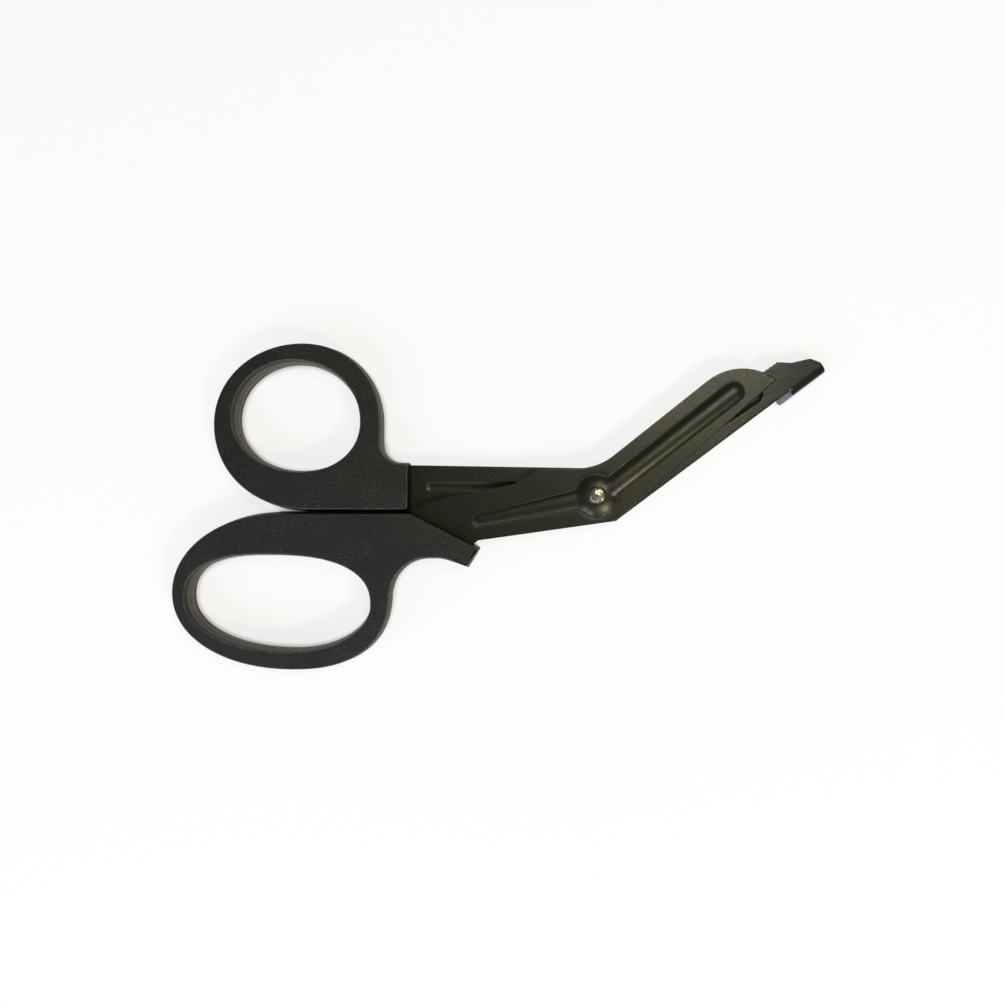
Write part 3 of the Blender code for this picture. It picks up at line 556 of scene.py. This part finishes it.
class Scatter:
    """Plan points of a sheet, with the loops that bound it and the drop of its faces at each point."""

    def __init__(self):
        self.points = []
        self.drops = []
        self.edges = []
        self.cells = {}

    def cell(self, point):
        return (math.floor(point[0] / GRID), math.floor(point[1] / GRID))

    def put(self, point, drop=0.0):
        self.cells.setdefault(self.cell(point), []).append(point)
        self.points.append(point)
        self.drops.append(drop)

    def put_loop(self, loop, drop=0.0):
        first = len(self.points)
        for index, point in enumerate(loop):
            self.put(point, drop)
            self.edges.append((first + index, first + (index + 1) % len(loop)))

    def near(self, point):
        column, row = self.cell(point)
        for across in (-1, 0, 1):
            for up in (-1, 0, 1):
                yield from self.cells.get((column + across, row + up), ())

    def put_apart(self, points, room, loop):
        """Add the points that lie inside the loop, outside the rivet's hole, and with this much room."""
        x, y = np.array(points).T
        wanted = inside_loop(x, y, loop) & (np.hypot(x, y) > RIVET_HOLE_RADIUS + room)
        for index in np.flatnonzero(wanted):
            point = points[index]
            if all(math.dist(point, other) >= room for other in self.near(point)):
                self.put(point)

    def triangles(self):
        """Plan, drops and triangles of the sheet inside its outermost loop and outside the hole."""
        spots = [Vector(point) for point in self.points]
        corners, _, faces, sources, _, _ = delaunay_2d_cdt(spots, self.edges, [], 1, CORNER_TOLERANCE)
        plan = np.array([tuple(corner) for corner in corners])
        drops = np.array([max((self.drops[index] for index in source), default=0.0)
                          for source in sources])
        within_hole = RIVET_HOLE_RADIUS * math.cos(math.pi / HOLE_STEPS)
        kept = [tuple(face) for face in faces if np.hypot(*plan[list(face)].mean(axis=0)) > within_hole]
        return plan, drops, kept


def hex_grid(loop):
    """Even rows of points over the box of the loop."""
    low = np.min(np.array(loop), axis=0)
    high = np.max(np.array(loop), axis=0)
    points = []
    for number, y in enumerate(np.arange(low[1], high[1], GRID * math.sin(math.pi / 3))):
        points += [(x, y) for x in np.arange(low[0] + GRID / 2 * (number % 2), high[0], GRID)]
    return points


def sheet_plan(outline, beads, extra):
    """Fine triangles over a flat blank, close together along the feet of the pressed forms."""
    rim = finely(directed(outline), GRID)
    inner = inset_loop(rim, ROLL)
    scatter = Scatter()
    scatter.put_loop(rim, ROLL_DROP)
    scatter.put_loop(circle(RIVET_HOLE_RADIUS, HOLE_STEPS), ROLL_DROP)
    scatter.put_loop(inner)
    scatter.put_apart(foot_points(beads) + extra, FOOT_ROOM, inner)
    scatter.put_apart(hex_grid(rim), GRID_ROOM, inner)
    return scatter.triangles()


def edge_distance(x, y, line, side):
    """Distance of points from a cutting edge into the sheet, which lies on the given side of the line."""
    return side * ((x - line.start.x) * line.left.x + (y - line.start.y) * line.left.y)


def pressed_sheet(plan, drops, triangles, beads, inner_z, sense, ground):
    """Corners and faces of the sheet: its two pressed faces, joined by walls at the rim and the hole."""
    x, y = plan.T
    rise = press_height(x, y, beads)
    outer_rise = np.where(np.hypot(x, y) < SEAT_RADIUS, BOSS_RISE - SEAT_DEPTH, rise)
    outer = inner_z + sense * (SHEET + outer_rise - ground - drops)
    inner = inner_z + sense * (np.maximum(rise, 0.0) + drops)
    corners = np.vstack([np.column_stack([x, y, outer]), np.column_stack([x, y, inner])])
    count = len(plan)
    sides = {}
    for a, b, c in triangles:
        for side in ((a, b), (b, c), (c, a)):
            key = frozenset(side)
            sides[key] = None if key in sides else side
    faces = list(triangles)
    faces += [(a + count, c + count, b + count) for a, b, c in triangles]
    faces += [(side[1], side[0], side[0] + count, side[1] + count) for side in sides.values() if side]
    return corners, faces


def folded(corners):
    """Corners of the rear blade with its foot rolled round the bend, as in the part."""
    outward = -REAR_SPINE.left
    axis_z = REAR_OUTER_Z - FOOT_BEND_RADIUS
    x = corners[:, 0] - FOLD.start.x
    y = corners[:, 1] - FOLD.start.y
    past = x * outward.x + y * outward.y
    along = x * FOLD.along.x + y * FOLD.along.y
    in_foot = (along > FOOT_START - FOOT_RELIEF / 2) | (past > FOOT_BEND_LENGTH / 2)
    moved = (past > 0.0) & in_foot
    angle = np.clip(past / FOOT_BEND_LENGTH, 0.0, 1.0) * math.pi / 2
    straight = np.maximum(past - FOOT_BEND_LENGTH, 0.0)
    radius = corners[:, 2] - axis_z
    reach = radius * np.sin(angle)
    bent = np.column_stack([
        FOLD.start.x + FOLD.along.x * along + outward.x * reach,
        FOLD.start.y + FOLD.along.y * along + outward.y * reach,
        axis_z + radius * np.cos(angle) - straight,
    ])
    return np.where(moved[:, None], bent, corners)


def add_piece(node, corners, faces, material, sharp_angle):
    """Visible piece that rides on the node's body and stands for the node."""
    mesh = bpy.data.meshes.new(node + "_shape")
    mesh.from_pydata([tuple(corner) for corner in corners], [], faces)
    work = bmesh.new()
    work.from_mesh(mesh)
    bmesh.ops.remove_doubles(work, verts=work.verts, dist=WELD_DISTANCE)
    bmesh.ops.recalc_face_normals(work, faces=work.faces)
    work.to_mesh(mesh)
    work.free()
    mesh.transform(Matrix.Translation((PIVOT.x, PIVOT.y, 0.0)))
    mesh.materials.append(material)
    mesh.shade_smooth()
    mesh.set_sharp_from_angle(angle=math.radians(sharp_angle))
    piece = bpy.data.objects.new(node + "_shape", mesh)
    bpy.context.scene.collection.objects.link(piece)
    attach(piece, frame["nodes"][node]["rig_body"])
    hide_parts(node)
    return piece


def add_front_blade(material):
    beads = [straight_bead(FRONT_BEAD), FRONT_SHANK_BEAD]
    bevel_line = [FRONT_EDGE.point(step * GRID, FRONT_BEVEL)
                  for step in range(round(FRONT_EDGE_LENGTH / GRID))]
    plan, drops, triangles = sheet_plan(front_outline(), beads, bevel_line)
    x, y = plan.T
    inward = edge_distance(x, y, FRONT_EDGE, 1)
    along = (x - HEEL[0]) * FRONT_EDGE.along.x + (y - HEEL[1]) * FRONT_EDGE.along.y
    slope = np.clip(1 - inward / FRONT_BEVEL, 0.0, 1.0)
    ground = np.where(along > 0.0, slope, 0.0) * FRONT_GRIND_DEPTH
    corners, faces = pressed_sheet(plan, drops, triangles, beads, FRONT_INNER_Z, 1, ground)
    add_piece("front_blade", corners, faces, material, BLADE_SHARP_ANGLE)


def add_rear_blade(material):
    beads = [straight_bead(REAR_BEAD), REAR_SHANK_BEAD]
    extra = [REAR_EDGE.point(step * GRID, -REAR_BEVEL)
             for step in range(round(REAR_EDGE_LENGTH / GRID))]
    foot_reach = FOOT_LENGTH + FOOT_TAB_LENGTH
    for row in range(FOOT_BEND_ROWS + 1):
        offset = FOOT_FOLD_INSET - FOOT_BEND_LENGTH * row / FOOT_BEND_ROWS
        extra += [REAR_SPINE.point(FOOT_START - FOOT_TAB_LENGTH + step * GRID, offset)
                  for step in range(round(foot_reach / GRID))]
    plan, drops, triangles = sheet_plan(rear_outline(), beads, extra)
    x, y = plan.T
    inward = edge_distance(x, y, REAR_EDGE, -1)
    along = (x - REAR_EDGE.start.x) * REAR_EDGE.along.x + (y - REAR_EDGE.start.y) * REAR_EDGE.along.y
    on_edge = (along > 0.0) & (along < REAR_EDGE_LENGTH)
    slope = np.clip(1 - inward / REAR_BEVEL, 0.0, 1.0)
    ground = np.where(on_edge, slope, 0.0) * REAR_GRIND_DEPTH
    corners, faces = pressed_sheet(plan, drops, triangles, beads, REAR_INNER_Z, -1, ground)
    add_piece("rear_blade", folded(corners), faces, material, BLADE_SHARP_ANGLE)


def quarter(side, peak, fullness):
    """Quarter of a full oval from its side point, where it runs along Y, to its top or bottom point."""
    points = []
    for step in range(QUARTER_STEPS + 1):
        angle = math.pi / 2 * step / QUARTER_STEPS
        across = math.cos(angle) ** (2 / fullness)
        up = math.sin(angle) ** (2 / fullness)
        points.append((peak[0] + (side[0] - peak[0]) * across, side[1] + (peak[1] - side[1]) * up))
    return points


class Oval:
    """Oval that fills a box between its low and high corners, touching each side at a given share."""

    def __init__(self, low, high, touch, fullness):
        size = (high[0] - low[0], high[1] - low[1])
        self.right_x = high[0]
        top = (low[0] + size[0] * touch[0], high[1])
        right = (high[0], low[1] + size[1] * touch[1])
        bottom = (low[0] + size[0] * touch[2], low[1])
        left = (low[0], low[1] + size[1] * touch[3])
        self.upper_left = quarter(left, top, fullness[0])
        self.upper_right = quarter(right, top, fullness[1])[::-1]
        self.lower_right = quarter(right, bottom, fullness[2])
        self.lower_left = quarter(left, bottom, fullness[3])[::-1]

    def loop(self):
        quarters = (self.upper_left, self.upper_right, self.lower_right, self.lower_left)
        return [point for points in quarters for point in points[:-1]]


def moulded_section():
    """Inset and height of each step of a handle's wall, from its underside up to its top face."""
    half = HANDLE_THICKNESS / 2
    low_lip, high_lip = LIP_LEVELS
    upper = [(0.0, low_lip), (0.0, high_lip), (PARTING_STEP, PARTING_LAND / 2 + PARTING_STEP)]
    for step in range(HANDLE_EDGE_STEPS + 1):
        angle = math.pi / 2 * step / HANDLE_EDGE_STEPS
        inset = HANDLE_DRAFT + HANDLE_EDGE_RADIUS * (1 - math.cos(angle))
        upper.append((inset, half - HANDLE_EDGE_RADIUS * (1 - math.sin(angle))))
    return [(inset, -height) for inset, height in reversed(upper)] + upper


def add_handle(node, outline, hole, split_y, lip_side, material):
    """Moulded handle, whose parting land carries a thin lip that closes the gap to the other handle."""
    work = bmesh.new()
    rims = {0: [], -1: []}
    for loop in (directed(outline, 1), directed(hole, -1)):
        rings = []
        for inset, height in moulded_section():
            ring = []
            on_lip = abs(height) <= LIP_LEVELS[1] and height * lip_side > 0
            for spot, (x, y) in zip(loop, inset_loop(loop, inset)):
                if on_lip and abs(spot[1] - split_y) < SPLIT_TOLERANCE:
                    y -= lip_side * LIP_REACH
                ring.append(work.verts.new((x, y, BLADE_PLANE_Z + height)))
            rings.append(ring)
        count = len(loop)
        for low, high in zip(rings, rings[1:]):
            for index in range(count):
                after = (index + 1) % count
                work.faces.new((low[index], low[after], high[after], high[index]))
        for end in rims:
            ring = rings[end]
            sides = zip(ring, ring[1:] + ring[:1])
            rims[end] += [work.edges.get(side) for side in sides]
    for edges in rims.values():
        bmesh.ops.triangle_fill(work, edges=edges, use_beauty=True)
    work.verts.index_update()
    corners = [tuple(vertex.co) for vertex in work.verts]
    faces = [[vertex.index for vertex in face.verts] for face in work.faces]
    work.free()
    piece = add_piece(node, corners, faces, material, HANDLE_SHARP_ANGLE)
    weighted = piece.modifiers.new("normals", "WEIGHTED_NORMAL")
    weighted.keep_sharp = True
    weighted.weight = NORMAL_WEIGHT


def add_thumb_handle(material):
    hole_right = THUMB_FRONT_X - THUMB_HOLE_SETBACK
    hole_left = hole_right - THUMB_HOLE_SIZE[0]
    hole_bottom = THUMB_UNDERSIDE_Y + THUMB_WALL_BELOW
    hole_top = hole_bottom + THUMB_HOLE_SIZE[1]
    hole = Oval((hole_left, hole_bottom), (hole_right, hole_top), THUMB_HOLE_TOUCH, THUMB_HOLE_FULLNESS)
    bow = Oval((hole_left - THUMB_WALL_BACK, THUMB_UNDERSIDE_Y),
               (hole_right + THUMB_WALL_FRONT, hole_top + THUMB_WALL_TOP),
               THUMB_OUTER_TOUCH, THUMB_OUTER_FULLNESS)
    outline = rounded([
        *bow.upper_left[:-1],
        *bow.upper_right,
        (bow.right_x, THUMB_NECK_TOP, THUMB_NECK_FILLET),
        (THUMB_FRONT_X, THUMB_NECK_TOP, THUMB_FRONT_TOP_RADIUS),
        (THUMB_FRONT_X, THUMB_UNDERSIDE_Y, THUMB_FRONT_BOTTOM_RADIUS),
        *bow.lower_left[:-1],
    ])
    add_handle("thumb_handle", outline, hole.loop(), THUMB_UNDERSIDE_Y, 1, material)


def add_finger_handle(material):
    hole_right = FINGER_CORNER_X - FINGER_HOLE_SETBACK
    hole_left = hole_right - FINGER_HOLE_SIZE[0]
    hole_top = FINGER_TOP_Y - FINGER_WALL_ABOVE
    hole_bottom = hole_top - FINGER_HOLE_SIZE[1]
    hole = Oval((hole_left, hole_bottom), (hole_right, hole_top), FINGER_HOLE_TOUCH, FINGER_HOLE_FULLNESS)
    bow = Oval((hole_left - FINGER_WALL_BACK, hole_bottom - FINGER_WALL_BELOW),
               (hole_right + FINGER_WALL_FRONT, FINGER_TOP_Y),
               FINGER_OUTER_TOUCH, FINGER_OUTER_FULLNESS)
    nub_top = SLANT.point(FINGER_SLANT_LENGTH)
    nub_bottom = Line(*nub_top, NUB_ANGLE).point(NUB_LENGTH)
    neck_front, neck_back = FINGER_NECK_FRONT, FINGER_NECK_BACK
    outline = rounded([
        (FINGER_CORNER_X, FINGER_TOP_Y, FINGER_CORNER_RADIUS),
        (*nub_top, NUB_CORNER_RADIUS),
        (*nub_bottom, NUB_CORNER_RADIUS),
        (nub_bottom[0] + neck_front[0], nub_bottom[1] + neck_front[1], neck_front[2]),
        (bow.right_x + neck_back[0], nub_bottom[1] + neck_back[1], neck_back[2]),
        *bow.lower_right[:-1],
        *bow.lower_left[:-1],
        *bow.upper_left,
    ])
    add_handle("finger_handle", outline, hole.loop(), FINGER_TOP_Y, -1, material)


def rivet_head(seat, sense):
    """Radius and height of each ring of a rivet head, from its seat to the top of its crown."""
    rings = [(RIVET_HEAD_RADIUS, seat)]
    crown_height = RIVET_HEAD_HEIGHT - RIVET_EDGE_HEIGHT
    for step in range(RIVET_RINGS):
        share = 1 - step / RIVET_RINGS
        height = RIVET_EDGE_HEIGHT + crown_height * (1 - share ** RIVET_CROWN)
        rings.append((RIVET_HEAD_RADIUS * share, seat + sense * height))
    return rings


def add_rivet(material):
    """Headed rivet, each head crowned and lightly marked by the closing tool."""
    front_seat = FRONT_OUTER_Z + BOSS_RISE - SEAT_DEPTH + SEAT_GAP
    rear_seat = REAR_OUTER_Z - BOSS_RISE + SEAT_DEPTH - SEAT_GAP
    profile = rivet_head(front_seat, 1)[::-1] + [(RIVET_SHANK_RADIUS, front_seat)]
    profile += [(RIVET_SHANK_RADIUS, rear_seat)] + rivet_head(rear_seat, -1)
    corners = []
    for radius, height in profile:
        for x, y in circle(radius, RIVET_STEPS):
            mark = noise.noise(Vector((x, y, height)) / RIVET_MARK_SIZE)
            inward = RIVET_MARK_DEPTH * max(mark, 0.0) * (1 - (radius / RIVET_HEAD_RADIUS) ** 4)
            side = 1 if height > BLADE_PLANE_Z else -1
            corners.append((x, y, height - side * inward))
    middles = [len(corners), len(corners) + 1]
    corners += [(0.0, 0.0, front_seat + RIVET_HEAD_HEIGHT), (0.0, 0.0, rear_seat - RIVET_HEAD_HEIGHT)]
    faces = []
    for ring in range(len(profile) - 1):
        for step in range(RIVET_STEPS):
            after = (step + 1) % RIVET_STEPS
            low, high = ring * RIVET_STEPS, (ring + 1) * RIVET_STEPS
            faces.append((low + step, low + after, high + after, high + step))
    last = (len(profile) - 1) * RIVET_STEPS
    for step in range(RIVET_STEPS):
        after = (step + 1) % RIVET_STEPS
        faces.append((middles[0], after, step))
        faces.append((middles[1], last + step, last + after))
    add_piece("pivot_rivet", corners, faces, material, BLADE_SHARP_ANGLE)


class Nodes:
    """A new material, with short ways of adding nodes to its tree."""

    def __init__(self, name):
        self.material = bpy.data.materials.new(name)
        self.material.use_nodes = True
        self.tree = self.material.node_tree
        self.shader = self.tree.nodes["Principled BSDF"]
        self.output = self.tree.nodes["Material Output"]

    def add(self, kind, inputs=None, **settings):
        node = self.tree.nodes.new(kind)
        for key, value in settings.items():
            setattr(node, key, value)
        for key, value in (inputs or {}).items():
            self.set(node, key, value)
        return node

    def set(self, node, key, value):
        if isinstance(value, bpy.types.NodeSocket):
            self.tree.links.new(value, node.inputs[key])
        else:
            node.inputs[key].default_value = value

    def surface(self, **inputs):
        for key, value in inputs.items():
            self.set(self.shader, key.replace("_", " "), value)

    def position(self):
        return self.add("ShaderNodeTexCoord").outputs["Object"]

    def noise(self, feature_size, detail=2.0, roughness=0.5, vector=None):
        """Noise whose features measure about feature_size metres."""
        node = self.add("ShaderNodeTexNoise", {
            "Vector": vector or self.position(),
            "Scale": 1.0 / feature_size,
            "Detail": detail,
            "Roughness": roughness,
        })
        return node.outputs["Fac"]

    def spread(self, value, low, high, out_low=0.0, out_high=1.0):
        node = self.add("ShaderNodeMapRange", {
            "Value": value,
            "From Min": low,
            "From Max": high,
            "To Min": out_low,
            "To Max": out_high,
        })
        return node.outputs["Result"]

    def blend(self, factor, first, second):
        node = self.add("ShaderNodeMix", data_type="RGBA")
        self.set(node, 0, factor)
        self.set(node, 6, first)
        self.set(node, 7, second)
        return node.outputs[2]

    def math(self, operation, first, second=0.0):
        node = self.add("ShaderNodeMath", operation=operation)
        self.set(node, 0, first)
        self.set(node, 1, second)
        return node.outputs[0]

    def bump(self, height, distance, strength=1.0, normal=None):
        inputs = {"Height": height, "Distance": distance, "Strength": strength}
        if normal is not None:
            inputs["Normal"] = normal
        return self.add("ShaderNodeBump", inputs).outputs["Normal"]


def plastic_material():
    """Near-black moulded plastic: grained, with pale flecks on top as painted glints, matt sides painted
    darker and bluer as shade, a painted highlight on the upper edge, and a pale band of painted bounce
    light behind the handles' fronts."""
    make = Nodes("moulded_plastic")
    grain = make.noise(GRAIN_SIZE, detail=4.0, roughness=0.75)
    speckle = make.spread(grain, 0.50, 0.66)
    cloud = make.spread(make.noise(CLOUD_SIZE, detail=3.0), 0.35, 0.65)
    base = make.blend(cloud, PLASTIC_COOL, PLASTIC_WARM)
    patchy = make.spread(make.noise(GLINT_PATCH_SIZE), 0.40, 0.62, 0.35, 1.0)
    # Painted glints: pale specks on the grain of the top faces.
    top_colour = make.blend(make.math("MULTIPLY", speckle, patchy), base, PLASTIC_GLINT)
    parts = make.add("ShaderNodeSeparateXYZ", {"Vector": make.position()})
    from_parting = make.math("ABSOLUTE", make.math("SUBTRACT", parts.outputs["Z"], BLADE_PLANE_Z))
    on_top = make.spread(from_parting, *SIDE_BAND)
    # Painted shade: the side walls take a darker, bluer colour than the top.
    colour = make.blend(on_top, PLASTIC_SIDE_SHADE, top_colour)
    # Painted highlight: a broken pale line on the rounded edge of the top face.
    edge_low, edge_middle, edge_high = EDGE_HIGHLIGHT_HEIGHTS
    below_top = make.spread(from_parting, edge_middle, edge_high, 1.0, 0.0)
    edge = make.math("MULTIPLY", below_top, make.spread(from_parting, edge_low, edge_middle))
    broken = make.spread(make.noise(HIGHLIGHT_BREAK_SIZE, detail=4.0), 0.42, 0.60, 0.35, 1.0)
    colour = make.blend(make.math("MULTIPLY", edge, broken), colour, PLASTIC_EDGE_HIGHLIGHT)
    # Painted bounce light: a pale band round the walls near the parting line, behind the handles' fronts.
    band = make.spread(from_parting, *BOUNCE_BAND, 1.0, 0.0)
    behind = make.spread(parts.outputs["X"], *BOUNCE_END, 1.0, 0.0)
    uneven = make.spread(make.noise(BOUNCE_PATCH_SIZE, detail=3.0), 0.3, 0.7, 0.65, 1.0)
    bounce_light = make.math("MULTIPLY", make.math("MULTIPLY", band, behind), uneven)
    colour = make.blend(bounce_light, colour, PLASTIC_BOUNCE_LIGHT)
    roughness = make.spread(grain, 0.3, 0.75, 0.54, 0.34)
    fine = make.bump(grain, GRAIN_HEIGHT, 0.9)
    waves = make.bump(make.noise(WAVE_SIZE), WAVE_HEIGHT, 0.35, fine)
    make.surface(Base_Color=colour, Roughness=roughness, Normal=waves)
    make.surface(Specular_IOR_Level=make.spread(on_top, 0.0, 1.0, SIDE_GLOSS, TOP_GLOSS))
    return make.material


def edge_shadow_mask(make):
    """Mask of a painted shadow line: one along the front blade's cutting edge, in front of the rivet, and
    nought elsewhere.
    """
    place = make.add("ShaderNodeVectorMath", {0: make.position(), 1: (PIVOT.x, PIVOT.y, 0.0)},
                     operation="SUBTRACT").outputs["Vector"]
    normal = (FRONT_EDGE.left.x, FRONT_EDGE.left.y, 0.0)
    inward = make.add("ShaderNodeVectorMath", {0: place, 1: normal}, operation="DOT_PRODUCT")
    nearness = make.math("SUBTRACT", inward.outputs["Value"], Vector(HEEL).dot(FRONT_EDGE.left))
    line = make.spread(nearness, 0.0, EDGE_SHADOW_WIDTH, 1.0, 0.0)
    parts = make.add("ShaderNodeSeparateXYZ", {"Vector": make.position()})
    past_heel = make.math("GREATER_THAN", parts.outputs["X"], PIVOT.x + EDGE_SHADOW_START)
    return make.math("MULTIPLY", line, past_heel)


def coating_material(name, toe_shade=0.0, edge_shadow=False):
    """Dark olive-grey satin coating on pressed steel, with faint brown and green drifts and scuffs.

    A toe shade above nought paints shade on the blade's far end and on its bend, and paints a pale
    reflection on the tab under it. An edge shadow paints a dark shadow line along the cutting edge.
    """
    make = Nodes(name)
    drift = make.spread(make.noise(DRIFT_SIZE, detail=3.0), 0.32, 0.68)
    mottle = make.spread(make.noise(MOTTLE_SIZE, detail=4.0, roughness=0.65), 0.3, 0.7)
    base = make.blend(drift, COATING_GREEN, COATING_BROWN)
    colour = make.blend(make.math("MULTIPLY", mottle, SCUFF_SHARE), base, COATING_SCUFF)
    parts = make.add("ShaderNodeSeparateXYZ", {"Vector": make.position()})
    # Painted shade: the far end grows darker towards the toe.
    toe = make.spread(parts.outputs["X"], *TOE_RANGE, 0.0, toe_shade)
    colour = make.blend(toe, colour, TOE_PAINTED_SHADE)
    # Painted shade: the bend past its start is darkened.
    past_start = make.math("GREATER_THAN", parts.outputs["X"], BEND_START)
    bend = make.spread(parts.outputs["Z"], *BEND_HEIGHTS, toe_shade, 0.0)
    colour = make.blend(make.math("MULTIPLY", past_start, bend), colour, BEND_PAINTED_SHADE)
    # Painted reflection: a pale blue patch on the tab past the bend's start, made rough and without
    # grain.
    above = make.spread(parts.outputs["Z"], *TAB_REFLECTION_HEIGHTS[:2])
    below = make.spread(parts.outputs["Z"], *TAB_REFLECTION_HEIGHTS[2:], 1.0, 0.0)
    shaded = make.math("MULTIPLY", past_start, toe_shade)
    tab_reflection = make.math("MULTIPLY", make.math("MULTIPLY", above, below), shaded)
    colour = make.blend(tab_reflection, colour, TAB_REFLECTION_COLOUR)
    # Painted shadow: a dark line along the front cutting edge.
    if edge_shadow:
        colour = make.blend(edge_shadow_mask(make), colour, EDGE_SHADOW_COLOUR)
    roughness = make.spread(mottle, 0.0, 1.0, 0.30, 0.38)
    roughness = make.math("MAXIMUM", roughness, make.math("MULTIPLY", tab_reflection, TAB_REFLECTION_ROUGHNESS))
    grained = make.spread(tab_reflection, 0.0, TOE_SHADE, COATING_GRAIN_STRENGTH, 0.0)
    grain = make.noise(COATING_GRAIN_SIZE, detail=3.0)
    normal = make.bump(grain, COATING_GRAIN_HEIGHT, grained)
    make.surface(Base_Color=colour, Roughness=roughness, Normal=normal)
    make.surface(Metallic=COATING_METAL, Specular_IOR_Level=COATING_GLOSS)
    return make.material


def rivet_material():
    """Bright steel with an uneven, brown-spotted head."""
    make = Nodes("bright_steel")
    spots = make.spread(make.noise(SPOT_SIZE), 0.40, 0.50)
    colour = make.blend(spots, RIVET_SPOT, RIVET_BRIGHT)
    scratches = make.noise(SCRATCH_SIZE, detail=4.0)
    roughness = make.spread(spots, 0.0, 1.0, 0.45, 0.28)
    normal = make.bump(scratches, SCRATCH_HEIGHT, 0.4)
    make.surface(Base_Color=colour, Roughness=roughness, Normal=normal, Metallic=1.0)
    return make.material


def floor_material():
    """Pale floor that shows nearly white to the eye and keeps a soft shadow, darkest in narrow gaps."""
    make = Nodes("floor")
    make.surface(Base_Color=FLOOR_COLOUR, Roughness=0.9, Specular_IOR_Level=0.0)
    glow = make.add("ShaderNodeEmission", {"Color": WHITE, "Strength": FLOOR_GLOW})
    path = make.add("ShaderNodeLightPath")
    seen = make.math("MAXIMUM", path.outputs["Is Camera Ray"], path.outputs["Is Glossy Ray"])
    seen = make.math("MAXIMUM", seen, path.outputs["Is Transmission Ray"])
    openness = make.add("ShaderNodeAmbientOcclusion", {"Distance": CONTACT_REACH}).outputs["AO"]
    lit = make.spread(openness, *CONTACT_SHADE)
    share = make.math("MULTIPLY", make.math("MULTIPLY", seen, lit), FLOOR_GLOW_SHARE)
    mix = make.add("ShaderNodeMixShader")
    make.set(mix, 0, share)
    make.set(mix, 1, make.shader.outputs["BSDF"])
    make.set(mix, 2, glow.outputs["Emission"])
    make.set(make.output, "Surface", mix.outputs[0])
    return make.material


def add_floor():
    bpy.ops.mesh.primitive_plane_add(size=FLOOR_SIZE, location=(0.0, 0.0, 0.0))
    floor = bpy.context.object
    floor.name = "floor"
    floor.data.materials.append(floor_material())


def add_light(name, azimuth, elevation, size, power, colour):
    """Soft round lamp one metre from the pivot, with its angles in degrees, the azimuth from +X."""
    data = bpy.data.lights.new(name, "AREA")
    data.shape = "DISK"
    data.size = size
    data.energy = power
    data.color = colour
    light = bpy.data.objects.new(name, data)
    bpy.context.scene.collection.objects.link(light)
    around, up = math.radians(azimuth), math.radians(elevation)
    direction = Vector((math.cos(around) * math.cos(up), math.sin(around) * math.cos(up), math.sin(up)))
    light.location = PIVOT + direction
    light.rotation_euler = direction.to_track_quat("Z", "Y").to_euler()


def light_scene():
    """Studio with a dark ceiling and pale walls, warm lamps on the right and cool ones below left."""
    world = bpy.data.worlds.new("studio")
    bpy.context.scene.world = world
    world.use_nodes = True
    tree = world.node_tree
    direction = tree.nodes.new("ShaderNodeTexCoord")
    parts = tree.nodes.new("ShaderNodeSeparateXYZ")
    rise = tree.nodes.new("ShaderNodeMapRange")
    tree.links.new(direction.outputs["Generated"], parts.inputs[0])
    tree.links.new(parts.outputs["Z"], rise.inputs["Value"])
    rise.inputs["From Min"].default_value, rise.inputs["From Max"].default_value = STUDIO_RISE
    rise.inputs["To Min"].default_value, rise.inputs["To Max"].default_value = STUDIO_STRENGTH
    background = tree.nodes["Background"]
    background.inputs["Color"].default_value = WHITE
    tree.links.new(rise.outputs["Result"], background.inputs["Strength"])
    for lamp in LAMPS:
        add_light(*lamp)


def add_camera():
    """Camera straight above the middle of the photograph, at the distance that its rims show."""
    mm = MM_PER_PIXEL / 1000
    middle_x = PIVOT.x + (IMAGE_WIDTH / 2 - PIVOT_PIXEL[0]) * mm
    middle_y = PIVOT.y - (IMAGE_HEIGHT / 2 - PIVOT_PIXEL[1]) * mm
    data = bpy.data.cameras.new("camera")
    data.sensor_width = SENSOR_WIDTH
    data.sensor_fit = "AUTO"
    data.lens = SENSOR_WIDTH * CAMERA_DISTANCE / (IMAGE_HEIGHT * mm)
    camera = bpy.data.objects.new("camera", data)
    bpy.context.scene.collection.objects.link(camera)
    camera.location = (middle_x, middle_y, BLADE_PLANE_Z + CAMERA_DISTANCE)
    bpy.context.scene.camera = camera


bpy.context.scene.view_settings.view_transform = "Standard"
add_camera()
add_floor()
light_scene()
plastic = plastic_material()
add_front_blade(coating_material("front_coating", edge_shadow=True))
add_rear_blade(coating_material("rear_coating", toe_shade=TOE_SHADE))
add_thumb_handle(plastic)
add_finger_handle(plastic)
add_rivet(rivet_material())
